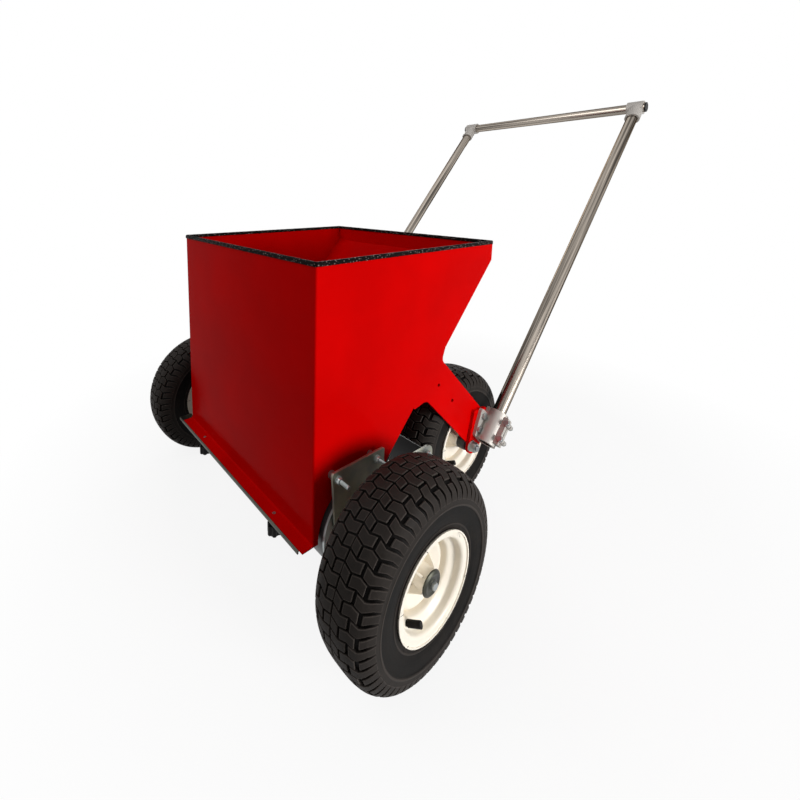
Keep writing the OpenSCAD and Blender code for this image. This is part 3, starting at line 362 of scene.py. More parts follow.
def belt_polished_stainless(name="belt_polished_stainless", lean=0.0, squeeze=(0.012, 1.0, 1.0)):
    """Welded stainless tube, belt polished: brownish grey, with bright and dark streaks along the tube,
    partly polish marks and partly painted reflections.
    """
    surface = _, tree, shader, place = new_surface(name, metallic=1.0)
    # A metal's tint is what it darkens to at grazing angles, here the tube's own brown
    shader.inputs["Specular Tint"].default_value = linear("#6b6258")
    metal = colours().tube
    turned = add(tree, "ShaderNodeMapping", {"Vector": place, "Rotation": (-lean, 0.0, 0.0)})
    drawn_out = add(tree, "ShaderNodeMapping", {"Vector": turned.outputs[0], "Scale": squeeze}).outputs[0]
    streaks = add(tree, "ShaderNodeTexNoise", {"Vector": drawn_out, "Scale": per(7), "Detail": 3.0})
    # The streaks are partly polish marks and partly painted reflection, bright and dark bands in place of
    # what the tube mirrors
    polish_and_reflection = add(tree, "ShaderNodeMapRange", {0: streaks.outputs["Fac"], 1: 0.38, 2: 0.62, 3: 0.0, 4: 1.0})
    # Belt marks of 0.2 mm, drawn at 1 mm so that they show
    marks = add(tree, "ShaderNodeTexNoise", {"Vector": drawn_out, "Scale": per(1), "Detail": 4.0})
    return dress(
        surface,
        colour=(polish_and_reflection.outputs[0], times(metal, 0.3), times(metal, 1.7)),
        rough=(marks.outputs["Fac"], 0.3, 0.7, 0.14, 0.3),
        relief=(marks.outputs["Fac"], 0.2, 0.06),
    )


def belt_polished_upright():
    """The same tube where it leans with the uprights."""
    return belt_polished_stainless("belt_polished_upright", UPRIGHT_SLOPE, (1.0, 0.012, 1.0))


def turned_bright_steel():
    """Cold-drawn steel bar, turned at the ends: mid grey, faint rings, thin oil stains."""
    surface = _, tree, _, place = new_surface("turned_bright_steel", metallic=1.0)
    metal = colours().steel
    rings = add(
        tree, "ShaderNodeTexWave", {"Vector": place, "Scale": per(2.5), "Distortion": 0.6, "Detail": 2.0}
    )
    stain = add(tree, "ShaderNodeTexNoise", {"Vector": place, "Scale": per(25), "Detail": 4.0})
    return dress(
        surface,
        colour=(stain.outputs["Fac"], times(metal, 0.6), times(metal, 1.2)),
        rough=(rings.outputs["Fac"], 0.0, 1.0, 0.24, 0.38),
    )


def bright_zinc_plate():
    """Bright zinc plate on steel: cool silver, mirror-like with a cloudy haze and a trace of yellow in it."""
    surface = _, tree, _, place = new_surface("bright_zinc_plate", metallic=1.0)
    metal = tuple(colours().zinc)
    cloud = add(
        tree, "ShaderNodeTexNoise", {"Vector": place, "Scale": per(30), "Detail": 3.0, "Roughness": 0.5}
    )
    amount = add(tree, "ShaderNodeMapRange", {0: cloud.outputs["Fac"], 1: 0.35, 2: 0.7, 3: 0.0, 4: 1.0})
    fine = add(tree, "ShaderNodeTexNoise", {"Vector": place, "Scale": per(3), "Detail": 3.0})
    return dress(
        surface,
        colour=(amount.outputs[0], metal, times(metal, 0.8, 0.8, 0.76)),
        rough=(cloud.outputs["Fac"], 0.3, 0.75, 0.3, 0.46),
        relief=(fine.outputs["Fac"], 0.15, 0.08),
    )


def dull_zinc_sheet(name="dull_zinc_sheet", depth=1.0):
    """Zinc-plated sheet under a film of oil: dark olive grey and cloudy, with a soft sheen."""
    surface = _, tree, _, place = new_surface(name, metallic=1.0)
    # depth below 1 darkens the whole sheet, as painted shade on the gate strip and as a painted dark
    # reflection on the hub washers
    metal = times(colours().sheet_zinc, depth)
    cloud = add(
        tree, "ShaderNodeTexNoise", {"Vector": place, "Scale": per(38), "Detail": 4.0, "Roughness": 0.55}
    )
    amount = add(tree, "ShaderNodeMapRange", {0: cloud.outputs["Fac"], 1: 0.35, 2: 0.7, 3: 0.0, 4: 1.0})
    return dress(
        surface,
        colour=(amount.outputs[0], metal, times(metal, 1.5, 1.45, 1.2)),
        rough=(cloud.outputs["Fac"], 0.3, 0.75, 0.32, 0.48),
    )


def zinc_washer_painted_dark():
    """The same zinc, painted nearly black as a painted dark reflection on the hub washers."""
    return dull_zinc_sheet("zinc_washer_painted_dark", 0.2)


def zinc_strip_painted_dark():
    """The same zinc, painted dark as shade, so that only a thin line of light along the bend shows."""
    return dull_zinc_sheet("zinc_strip_painted_dark", 0.24)


FINISHES = {
    "red_paint": gloss_red_powder_coat,
    "cream_paint": cream_wheel_enamel,
    "tyre_rubber": moulded_tyre_rubber,
    "edge_rubber": pebbled_edge_rubber,
    "wiper_rubber": soft_wiper_rubber,
    "black_paint": black_powder_coat,
    "black_plastic": moulded_black_nylon,
    "cast_aluminium": tumbled_cast_aluminium,
    "stainless_tube": belt_polished_stainless,
    "bright_steel": turned_bright_steel,
    "zinc_plate": bright_zinc_plate,
}
# Nodes whose look differs from the rest of their slot
OWN_FINISHES = {
    "handle_tube_left": belt_polished_upright,
    "handle_tube_right": belt_polished_upright,
    "axle_plate_left": dull_zinc_sheet,
    "axle_plate_right": dull_zinc_sheet,
    "gate_plate": zinc_strip_painted_dark,
    "hub_washers": zinc_washer_painted_dark,
    "valve_stems_front": smooth_valve_rubber,
    "valve_stem_rear_left": smooth_valve_rubber,
    "valve_stem_rear_right": smooth_valve_rubber,
}
made_finishes = {}


def finish_for(node):
    """The material of a node, made once for all that share it."""
    make = OWN_FINISHES.get(node) or FINISHES[SLOT_OF[node]]
    if make not in made_finishes:
        made_finishes[make] = make()
    return made_finishes[make]


# Mesh tools, in millimetres


def rounded(corners, steps=5):
    """An outline whose corners (x, y, radius) are rounded."""
    points = []
    count = len(corners)
    for i, (x, y, radius) in enumerate(corners):
        here = Vector((x, y))
        if radius <= 0:
            points.append(here)
            continue
        back = (Vector(corners[i - 1][:2]) - here).normalized()
        on = (Vector(corners[(i + 1) % count][:2]) - here).normalized()
        half = back.angle(on) / 2
        centre = here + (back + on).normalized() * radius / math.sin(half)
        start = here + back * radius / math.tan(half) - centre
        end = here + on * radius / math.tan(half) - centre
        turn = start.angle_signed(end)
        points += [centre + Matrix.Rotation(-turn * k / steps, 2) @ start for k in range(steps + 1)]
    return points


def sheet_along(corners, thickness):
    """The closed outline of a sheet of this thickness along an open line of (x, y, radius) corners."""
    line = rounded([(*corners[0][:2], 0), *corners[1:-1], (*corners[-1][:2], 0)])
    left, right = [], []
    for i, point in enumerate(line):
        before = line[max(i - 1, 0)]
        after = line[min(i + 1, len(line) - 1)]
        along = (after - before).normalized()
        across = Vector((-along.y, along.x)) * thickness / 2
        left.append(point + across)
        right.append(point - across)
    return left + right[::-1]


def skin(shape, rings, capped=True):
    """Joins rings of points by faces, and closes the ends, or else the last ring to the first."""
    for one, two in zip(rings, rings[1:] if capped else rings[1:] + rings[:1]):
        for k in range(len(one)):
            n = (k + 1) % len(one)
            shape.faces.new((one[k], one[n], two[n], two[k]))
    if capped:
        shape.faces.new(rings[0][::-1])
        shape.faces.new(rings[-1])


def lathe(shape, outline, steps=96, closed=True):
    """Turns an outline of (x, radius) round the X axis and gives its rings of points."""
    turns = [math.tau * k / steps for k in range(steps)]
    rings = []
    for x, radius in outline:
        if radius < 0.001:
            rings.append([shape.verts.new((x, 0, 0))])
        else:
            rings.append([shape.verts.new((x, radius * math.cos(t), radius * math.sin(t))) for t in turns])
    following = rings[1:] + (rings[:1] if closed else [])
    for one, two in zip(rings, following):
        for k in range(steps):
            n = (k + 1) % steps
            corners = [one[k % len(one)], one[n % len(one)], two[n % len(two)], two[k % len(two)]]
            corners = list(dict.fromkeys(corners))
            if len(corners) > 2:
                shape.faces.new(corners)
    return rings


def prism(shape, outline, low, high, ease=0.0):
    """A flat piece along X from an outline of (y, z), with its edges eased."""
    centre = sum((Vector(p) for p in outline), Vector((0, 0))) / len(outline)
    levels = [(low, ease), (low + ease, 0), (high - ease, 0), (high, ease)] if ease else [(low, 0), (high, 0)]
    rings = []
    for x, inset in levels:
        ring = []
        for p in outline:
            out = Vector(p) - centre
            spot = centre + out * (1 - inset / max(out.length, 0.001))
            ring.append(shape.verts.new((x, spot.x, spot.y)))
        rings.append(ring)
    skin(shape, rings)


def mesh_of(shape, name, crease=35):
    """The shape as a mesh in metres, facing outwards, smooth but for creases."""
    bmesh.ops.remove_doubles(shape, verts=shape.verts, dist=0.001)
    bmesh.ops.recalc_face_normals(shape, faces=shape.faces)
    mesh = bpy.data.meshes.new(name)
    shape.to_mesh(mesh)
    shape.free()
    mesh.transform(Matrix.Scale(MM, 4))
    mesh.shade_smooth()
    mesh.set_sharp_from_angle(angle=math.radians(crease))
    return mesh


def moved(mesh, matrix):
    """A copy of a mesh under a matrix whose place is in millimetres."""
    copy = mesh.copy()
    copy.transform(Matrix.Translation(matrix.to_translation() * MM) @ matrix.to_3x3().to_4x4())
    if matrix.determinant() < 0:
        copy.flip_normals()
    return copy


def joined(meshes, name):
    """Several meshes as one."""
    shape = bmesh.new()
    for mesh in meshes:
        shape.from_mesh(mesh)
    whole = bpy.data.meshes.new(name)
    shape.to_mesh(whole)
    shape.free()
    return whole


def put_in_scene(name, data):
    """A new object in the scene."""
    thing = bpy.data.objects.new(name, data)
    bpy.context.scene.collection.objects.link(thing)
    return thing


def settle(name, mesh, *nodes):
    """Shows a finished mesh in place of its nodes, on their body and with their finish."""
    piece = put_in_scene(name, mesh)
    mesh.materials.clear()
    mesh.materials.append(finish_for(nodes[0]))
    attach(piece, frame["nodes"][nodes[0]]["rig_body"])
    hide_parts(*nodes)


def plain_mesh(mesh, name, kind, **settings):
    """A mesh after one modifier has run on it; settings are its fields, or the named inputs of its tree."""
    piece = put_in_scene(name, mesh)
    modifier = piece.modifiers.new(name, kind)
    tree = settings.pop("node_group", None)
    if tree:
        modifier.node_group = tree
        sockets = {s.name: s.identifier for s in tree.interface.items_tree if s.in_out == "INPUT"}
        for socket, value in settings.items():
            modifier[sockets[socket]] = value
    else:
        for field, value in settings.items():
            setattr(modifier, field, value)
    graph = bpy.context.evaluated_depsgraph_get()
    result = bpy.data.meshes.new_from_object(piece.evaluated_get(graph))
    result.name = name
    bpy.data.objects.remove(piece)
    return result


# Points closer than this, in millimetres, are one, and faces that turn less, in degrees, are one flat face
SAME_POINT = 0.002
SAME_FLAT = 0.8


def own_shape(node, flats=True):
    """A node's own shape in metres, its points merged and, with flats, each flat face made one."""
    shape = bmesh.new()
    shape.from_mesh(frame["nodes"][node].data)
    bmesh.ops.remove_doubles(shape, verts=shape.verts, dist=SAME_POINT * MM)
    if flats:
        angle = math.radians(SAME_FLAT)
        bmesh.ops.dissolve_limit(shape, angle_limit=angle, verts=shape.verts, edges=shape.edges)
    return shape


def eased_copy(node, width):
    """A node's own shape as one closed mesh with its sharp edges eased."""
    shape = own_shape(node)
    mesh = bpy.data.meshes.new(node)
    shape.to_mesh(mesh)
    shape.free()
    if "custom_normal" in mesh.attributes:
        mesh.attributes.remove(mesh.attributes["custom_normal"])
    mesh.shade_smooth()
    return plain_mesh(
        mesh, node, "BEVEL", width=width * MM, segments=2, limit_method="ANGLE",
        angle_limit=math.radians(30), harden_normals=True, miter_outer="MITER_ARC",
    )


def solids_of(node):
    """The boxes of a node's separate solids, as (lowest, highest) corners in millimetres."""
    shape = own_shape(node, flats=False)
    left, boxes = set(shape.verts), []
    while left:
        front, island = [left.pop()], []
        while front:
            vert = front.pop()
            island.append(vert.co)
            for edge in vert.link_edges:
                other = edge.other_vert(vert)
                if other in left:
                    left.remove(other)
                    front.append(other)
        low = Vector(min(c[i] for c in island) for i in range(3)) / MM
        high = Vector(max(c[i] for c in island) for i in range(3)) / MM
        boxes.append((low, high))
    shape.free()
    return sorted(boxes, key=lambda box: tuple(round(v, 1) for v in box[0]))


# Geometry Nodes trees


def start_tree(name, *sockets):
    """A tree with named inputs and one geometry output."""
    tree = bpy.data.node_groups.new(name, "GeometryNodeTree")
    for socket, kind in (("Geometry", "NodeSocketGeometry"), *sockets, ("Material", "NodeSocketMaterial")):
        tree.interface.new_socket(name=socket, in_out="INPUT", socket_type=kind)
    tree.interface.new_socket(name="Geometry", in_out="OUTPUT", socket_type="NodeSocketGeometry")
    return tree, add(tree, "NodeGroupInput").outputs


def end_tree(tree, copies, material):
    """Ends a tree in real, finished geometry."""
    real = add(tree, "GeometryNodeRealizeInstances", {"Geometry": copies.outputs[0]})
    painted = add(tree, "GeometryNodeSetMaterial", {"Geometry": real.outputs[0], "Material": material})
    add(tree, "NodeGroupOutput", {"Geometry": painted.outputs[0]})
    return tree


def round_the_axle_tree():
    """Repeats a piece at equal turns round the X axis."""
    tree, given = start_tree("round_the_axle", ("Copies", "NodeSocketInt"))
    points = add(tree, "GeometryNodePoints", {"Count": given["Copies"]})
    step = add(tree, "ShaderNodeMath", {0: math.tau, 1: given["Copies"]}, operation="DIVIDE")
    index = add(tree, "GeometryNodeInputIndex")
    turn = add(tree, "ShaderNodeMath", {0: index.outputs[0], 1: step.outputs[0]}, operation="MULTIPLY")
    turned = add(tree, "ShaderNodeCombineXYZ", {"X": turn.outputs[0]})
    copies = add(
        tree,
        "GeometryNodeInstanceOnPoints",
        {"Points": points.outputs[0], "Instance": given["Geometry"], "Rotation": turned.outputs[0]},
    )
    return end_tree(tree, copies, given["Material"])


def on_places_tree():
    """Sets a fastener on each point of a mesh, turned as the point says."""
    tree, given = start_tree("on_places", ("Fastener", "NodeSocketObject"))
    fastener = add(tree, "GeometryNodeObjectInfo", {"Object": given["Fastener"], "As Instance": True})
    turn = add(tree, "GeometryNodeInputNamedAttribute", {"Name": "turn"}, data_type="FLOAT_VECTOR")
    copies = add(
        tree,
        "GeometryNodeInstanceOnPoints",
        {"Points": given["Geometry"], "Instance": fastener.outputs["Geometry"], "Rotation": turn.outputs[0]},
    )
    return end_tree(tree, copies, given["Material"])


def repeated_round_axle(mesh, name, copies, material):
    """A mesh repeated round the X axis."""
    tree = bpy.data.node_groups.get("round_the_axle") or round_the_axle_tree()
    return plain_mesh(mesh, name, "NODES", node_group=tree, Copies=copies, Material=material)


def set_on_places(mesh, name, places, material):
    """A fastener's mesh on each place, given as (point in millimetres, turn)."""
    tree = bpy.data.node_groups.get("on_places") or on_places_tree()
    fastener = bpy.data.objects.new(name + "_one", mesh)
    spots = bpy.data.meshes.new(name)
    spots.from_pydata([tuple(Vector(point) * MM) for point, _ in places], [], [])
    turns = spots.attributes.new("turn", "FLOAT_VECTOR", "POINT")
    for item, (_, turn) in zip(turns.data, places):
        item.vector = turn
    result = plain_mesh(spots, name, "NODES", node_group=tree, Fastener=fastener, Material=material)
    bpy.data.objects.remove(fastener)
    result.shade_smooth()
    result.set_sharp_from_angle(angle=math.radians(35))
    return result


# Tyres

# Where the cross grooves turn, as (distance from the middle of the tread, share of the swing)
SWING = [(0, 0.8), (17, -1), (33, 0.8), (49, -1), (66, 1), (95, 1)]
# Tread blocks of the two alternating columns, as spans from the middle of the tread
BLOCKS = [[(0.7, 15.0), (19.2, 45.6), (52.6, 82)], [(1.6, 30.8), (36.2, 82)]]
# Where the tread begins to run out and where it ends, as distances from its middle
SHOULDER = 56
TREAD_END = 82
# Between these distances the cross grooves open out, by this share in the middle
FLARE_START, FLARE_END, FLARE = 46, 80, 0.9
# The tread's outline is a superellipse: the share of the radius it starts from, and its power
WIDEST = 0.74
BULGE = 2 / 2.83
# The side wall from there to the bead, as (distance in from the widest place, radius)
BEAD_LINE = [(0.3, 134), (0.7, 127), (1.6, 119), (3.0, 111), (5, 103.5)]
# The bead's foot inside the rim, measured in the same way
BEAD_FOOT = [(6.4, 99.5), (7.3, 97), (7.4, 87), (10, 84.4), (19, 84.2), (20, 90)]
# Rings of the side wall below the tread, as (from, to, lift, share of painted light), measured from the
# tread's end; raised rings are painted pale as a highlight and sunk ones dark as shade
WALL_RINGS = [
    (0, 7, -0.3, 0.34), (7, 10, 0.4, 0.7), (10, 11.5, -0.5, 0.3), (11.5, 43, -1.3, 0.06),
    (43, 46, -0.2, 0.5), (46, 60, -0.7, 0.2),
]
# Vent hairs round the bead, as (turn, length), and where they grow, measured like the bead
WHISKERS = [(0.4, 13), (1.5, 16), (2.3, 12), (3.6, 14), (4.4, 13), (5.6, 17)]
WHISKER_ROOT = (4.4, 106)


def between(table, at):
    """The value at a place in a table of (place, value)."""
    for (a, one), (b, two) in zip(table, table[1:]):
        if at <= b:
            return one + (two - one) * (at - a) / (b - a)
    return table[-1][1]


def share(at, start, end):
    """How far a place lies on the way from start to end, from 0 to 1."""
    return min(max((at - start) / (end - start), 0), 1)


class TyreLine:
    """The tyre's outside from the middle of the tread down to the bead."""

    def __init__(self, radius, width):
        """Lays the points out in millimetres, with how far along the surface each one is."""
        half = width / 2
        points = []
        for degrees in range(91):
            t = math.radians(90 - degrees)
            rise = WIDEST + (1 - WIDEST) * abs(math.sin(t)) ** BULGE
            points.append(Vector((half * abs(math.cos(t)) ** BULGE, radius * rise)))
        points[0].x = 0
        points += [Vector((half - inwards, r)) for inwards, r in BEAD_LINE]
        self.points = points
        self.reached = [0.0]
        for one, two in zip(points, points[1:]):
            self.reached.append(self.reached[-1] + (two - one).length)

    def at(self, along, lift=0.0):
        """The (x, radius) at a distance from the middle, lifted off the surface."""
        side = -1 if along < 0 else 1
        along = min(abs(along), self.reached[-1])
        i = min(max(bisect(self.reached, along), 1), len(self.points) - 1)
        way = (along - self.reached[i - 1]) / (self.reached[i] - self.reached[i - 1])
        spot = self.points[i - 1].lerp(self.points[i], way)
        slope = (self.points[min(i + 1, len(self.points) - 1)] - self.points[max(i - 2, 0)]).normalized()
        out = Vector((-slope.y, slope.x)) if along > 2 else Vector((0, 1))
        spot = spot + out * lift
        return Vector((side * max(spot.x, 0), spot.y))


def tread_block(shape, line, column, side, start, end):
    """One tread block with zigzag flanks and eased edges."""
    own = sizes()
    depth, swing, gap = own.tread_depth / MM, own.tread_swing / MM, own.sipe_width / MM
    radius = own.tyre_radius / MM
    pitch = math.pi / own.tread_pitches
    # The edges' easing, the strip along them that is painted paler as a highlight, and how deep the block's
    # foot stands in the tyre
    ease, edge_band, foot = 0.9, 2.2, 0.8
    shade_and_highlight = shape.verts.layers.float[SHADE_AND_HIGHLIGHT]
    stations = {start, start + ease, start + edge_band, end - edge_band, end - ease, end}
    stations |= {place for place, _ in SWING if start + 2 < place < end - 2}
    steps = max(2, round((end - start) / 6))
    stations |= {start + (end - start) * k / steps for k in range(1, steps)}
    rings = []
    for along in sorted(stations):
        drop = 0.0 if start < along < end else ease
        middle_turn = pitch * (column + 0.5) + swing * between(SWING, along) / radius
        floor = -depth * (1 - share(along, SHOULDER, TREAD_END)) - foot
        groove = gap * (1 + FLARE * math.sin(math.pi * share(along, FLARE_START, FLARE_END)))
        half = (pitch - groove / radius) / 2
        on_edge = along < start + edge_band or along > end - edge_band
        # The third value of each step is its share of painted light: painted shade at the groove floor,
        # painted highlight on the eased edge
        profile = [(half, floor, 0.0), (half, -ease - drop, 0.4), (half - ease / radius, -drop, 1.0)]
        profile.append((half - edge_band / radius, -drop, 0.95 if on_edge else 0.38))
        profile = [(-turn, lift, pale) for turn, lift, pale in profile] + profile[::-1]
        ring = []
        for turn, lift, pale in profile:
            x, r = line.at(side * along, lift)
            angle = middle_turn + turn
            vert = shape.verts.new((x, -r * math.cos(angle), r * math.sin(angle)))
            vert[shade_and_highlight] = pale
            ring.append(vert)
        rings.append(ring)
    skin(shape, rings)


def tyre_carcass(line):
    """The tyre below its blocks, with the rings that its mould leaves on the side walls."""
    own = sizes()
    depth, half_width = own.tread_depth / MM, own.tyre_width / MM / 2
    total = line.reached[-1]
    outline, shades_and_highlights = [], []
    # Rings stand closer together on the side wall, where its mould lines need them
    places, wide_step, close_step = [0.0], 3.0, 1.0
    while places[-1] < total - close_step / 2:
        step = wide_step if places[-1] < TREAD_END - 4 else close_step
        places.append(min(places[-1] + step, total))
    for along in places:
        # The groove floor between the blocks is painted in shade, less so towards the tread's end
        run_out = share(along, SHOULDER, TREAD_END)
        lift, pale = -depth * (1 - run_out), 0.34 * run_out**3
        for start, end, ring_lift, ring_shade_and_highlight in WALL_RINGS:
            if start < along - TREAD_END <= end:
                lift, pale = ring_lift, ring_shade_and_highlight
        outline.append(line.at(along, lift))
        shades_and_highlights.append(pale)
    outline += [Vector((half_width - inwards, r)) for inwards, r in BEAD_FOOT]
    shades_and_highlights += [0.3] * len(BEAD_FOOT)
    shape = bmesh.new()
    shade_and_highlight = shape.verts.layers.float.new(SHADE_AND_HIGHLIGHT)
    mirrored = [Vector((-p.x, p.y)) for p in outline[:0:-1]]
    rings = lathe(shape, outline + mirrored, steps=4 * own.tread_pitches)
    for ring, pale in zip(rings, shades_and_highlights + shades_and_highlights[:0:-1]):
        for vert in ring:
            vert[shade_and_highlight] = pale
    vent_whiskers(shape, shade_and_highlight, half_width)
    return mesh_of(shape, "tyre_carcass", crease=50)


def vent_whiskers(shape, shade_and_highlight, half_width):
    """The thin rubber hairs that the mould's vents leave near the bead, leaning in over the rim."""
    for side in (-1, 1):
        for turn, length in WHISKERS:
            root = Vector((side * (half_width - WHISKER_ROOT[0]), 0, WHISKER_ROOT[1]))
            tip = root + Vector((side * 3.6, 0.3 * length, -length))
            placed = Matrix.Rotation(turn, 3, "X")
            hair = []
            for spot, radius in ((root, 0.9), (tip, 0.6)):
                corners = [Vector((0.0, radius * math.cos(a), radius * math.sin(a))) for a in (0, 2.1, 4.2)]
                hair.append([shape.verts.new(placed @ (spot + corner)) for corner in corners])
            skin(shape, hair)
            for vert in hair[0] + hair[1]:
                vert[shade_and_highlight] = 0.3


class TOPDRESSER_OT_tyres(bpy.types.Operator):
    """Makes the four tyres with their turf tread"""

    bl_idname = "topdresser.tyres"
    bl_label = "Tyres"

    def execute(self, context):
        own = sizes()
        line = TyreLine(own.tyre_radius / MM, own.tyre_width / MM)
        shape = bmesh.new()
        shape.verts.layers.float.new(SHADE_AND_HIGHLIGHT)
        for column, blocks in enumerate(BLOCKS):
            for start, end in blocks:
                for side in (-1, 1):
                    tread_block(shape, line, column, side, start, end)
        one_pitch = mesh_of(shape, "tread_pitch", crease=30)
        rubber = finish_for("front_tyre_right")
        tread = repeated_round_axle(one_pitch, "tread", own.tread_pitches, rubber)
        tyre = joined([tyre_carcass(line), tread], "tyre")
        for node in ("front_tyre_left", "front_tyre_right", "rear_tyre_left", "rear_tyre_right"):
            settle(node.replace("tyre", "turf_tyre"), moved(tyre, Matrix.Translation(middle(node))), node)
        return {"FINISHED"}


# Rims

# The pressed rim and its dished disc as lines through their sheet, as (x, radius, bend)
RIM_LINE = [
    (60.0, 97.4, 0), (56.2, 97.6, 2.6), (56.2, 82.6, 5), (41.2, 82.6, 6), (34.4, 68.6, 6),
    (-34.4, 68.6, 6), (-41.2, 82.6, 6), (-56.2, 82.6, 5), (-56.2, 97.6, 2.6), (-60.0, 97.4, 0),
]
DISC_LINE = [
    (16.5, 68.4, 0), (16.5, 64.2, 4), (26.5, 59.5, 4.5), (26.5, 54.0, 5.5), (18.5, 34.5, 9), (18.5, 20.6, 0),
]
# The hub tube's section as (x, radius, rounding), and a gusset's corners as (x, radius)
HUB = [(-48, 11.5, 0), (-48, 21, 1.2), (48, 21, 1.2), (48, 11.5, 0)]
GUSSET = [(18.0, 19), (42.5, 19), (42.5, 24), (21.0, 38.5), (18.0, 38.5)]
# The weld ring between disc and hub tube, as (x, radius, half width, half height)
WELD = (20.4, 22.0, 3.0, 2.4)


def rim_mesh():
    """One pressed rim with its dished disc, hub tube, weld ring and four gussets."""
    shape = bmesh.new()
    for corners in (RIM_LINE, DISC_LINE):
        lathe(shape, sheet_along(corners, sizes().sheet / MM), steps=120)
    lathe(shape, rounded(HUB, 3), steps=72)
    x, radius, across, up = WELD
    turns = [math.tau * k / 10 for k in range(10)]
    lathe(shape, [(x + across * math.cos(t), radius + up * math.sin(t)) for t in turns], steps=72)
    pressed = mesh_of(shape, "rim_pressings", crease=40)
    plate = bmesh.new()
    prism(plate, [(r, x) for x, r in GUSSET], -2, 2, ease=0.5)
    upright = Matrix(((0, 0, 1), (0, 1, 0), (-1, 0, 0))).to_4x4()
    bmesh.ops.transform(plate, matrix=Matrix.Rotation(math.radians(45), 4, "X") @ upright, verts=plate.verts)
    gusset = mesh_of(plate, "gusset", crease=30)
    gussets = repeated_round_axle(gusset, "gussets", 4, finish_for("front_rim_right"))
    return joined([pressed, gussets], "rim")


class TOPDRESSER_OT_rims(bpy.types.Operator):
    """Makes the four pressed rims"""

    bl_idname = "topdresser.rims"
    bl_label = "Rims"

    def execute(self, context):
        rim = rim_mesh()
        for node in ("front_rim_left", "front_rim_right", "rear_rim_left", "rear_rim_right"):
            place = Matrix.Translation(middle(node))
            if node.endswith("left"):
                place = place @ Matrix.Rotation(math.pi, 4, "Z")
            settle(node.replace("rim", "pressed_rim"), moved(rim, place), node)
        return {"FINISHED"}


# Edge trim


def trim_section(height):
    """The trim's U section as (across, up, radius), with its open side down."""
    outside = [(-3, 0, 0.6), (-3, height, 2.4), (3, height, 2.4), (3, 0, 0.6)]
    return outside + [(1.4, 0, 0.3), (1.4, height - 3, 0.3), (-1.4, height - 3, 0.3), (-1.4, 0, 0.3)]


class TOPDRESSER_OT_edge_trim(bpy.types.Operator):
    """Makes the pebbled rubber trim round the hopper's mouth"""

    bl_idname = "topdresser.edge_trim"
    bl_label = "Edge trim"

    def execute(self, context):
        low, high = reach("rim_trim")
        side, bend, step = 3.0, 4.0, 1.3
        left, right, front, rear = low.x + side, high.x - side, low.y + side, high.y - side
        corners = [(left, rear, bend), (left, front, bend), (right, front, bend), (right, rear, bend)]
        bends = rounded(corners, 6)
        path = []
        for one, two in zip(bends, bends[1:] + bends[:1]):
            parts = max(1, round((two - one).length / step))
            path += [one.lerp(two, k / parts) for k in range(parts)]
        section = rounded(trim_section(high.z - low.z), 3)
        pebble, deepest = sizes().trim_pebble / MM, 0.8
        shape = bmesh.new()
        rings = []
        for i, point in enumerate(path):
            along = (path[(i + 1) % len(path)] - path[i - 1]).normalized()
            out = Vector((-along.y, along.x))
            ring = []
            for k, (across, up) in enumerate(section):
                spot = Vector((point.x + out.x * across, point.y + out.y * across, low.z + up))
                face = section[(k + 1) % len(section)] - section[k - 1]
                normal = Vector((face.y * out.x, face.y * out.y, -face.x)).normalized()
                outer = abs(across) > 1.6 or up > high.z - low.z - 2
                sunk = min(noise.voronoi(spot / pebble)[0][0], deepest) if outer else 0
                ring.append(shape.verts.new(spot - normal * sunk))
            rings.append(ring)
        skin(shape, rings, capped=False)
        settle("pebbled_edge_trim", mesh_of(shape, "pebbled_edge_trim", crease=70), "rim_trim")
        return {"FINISHED"}


# Eased pieces: castings, plates and mouldings that keep their own shape with softer edges

# How wide each node's edges are eased, in millimetres
EASED = {
    "arm_left": 0.6, "arm_right": 0.6, "axle_lug_left": 0.8, "axle_lug_right": 0.8,
    "axle_plate_left": 0.5, "axle_plate_right": 0.5, "cross_plate": 0.4,
    "handle_clamp_left": 1.4, "handle_clamp_right": 1.4,
    "handle_fitting_left": 1.4, "handle_fitting_right": 1.4,
    "front_bearing_left": 1.4, "front_bearing_right": 1.4, "gate_knob_left": 1.2, "gate_knob_right": 1.2,
    "valve_stems_front": 0.8, "valve_stem_rear_left": 0.8, "valve_stem_rear_right": 0.8,
    "bar_caps": 1.0, "front_axle": 0.8, "rear_axle": 0.8, "front_spacers": 0.5,
    "rear_spacers": 0.8, "rear_collars": 0.8, "plate_spacers": 0.5, "bearing_rings": 0.5,
    "wiper_bar": 0.4, "wiper_strip": 0.3,
}


class TOPDRESSER_OT_eased_pieces(bpy.types.Operator):
    """Eases the edges of the plates, castings and mouldings"""

    bl_idname = "topdresser.eased_pieces"
    bl_label = "Plates, castings and mouldings"

    def execute(self, context):
        for node, width in EASED.items():
            settle(node + "_eased", eased_copy(node, width), node)
        return {"FINISHED"}


# Gate strip and hub washers


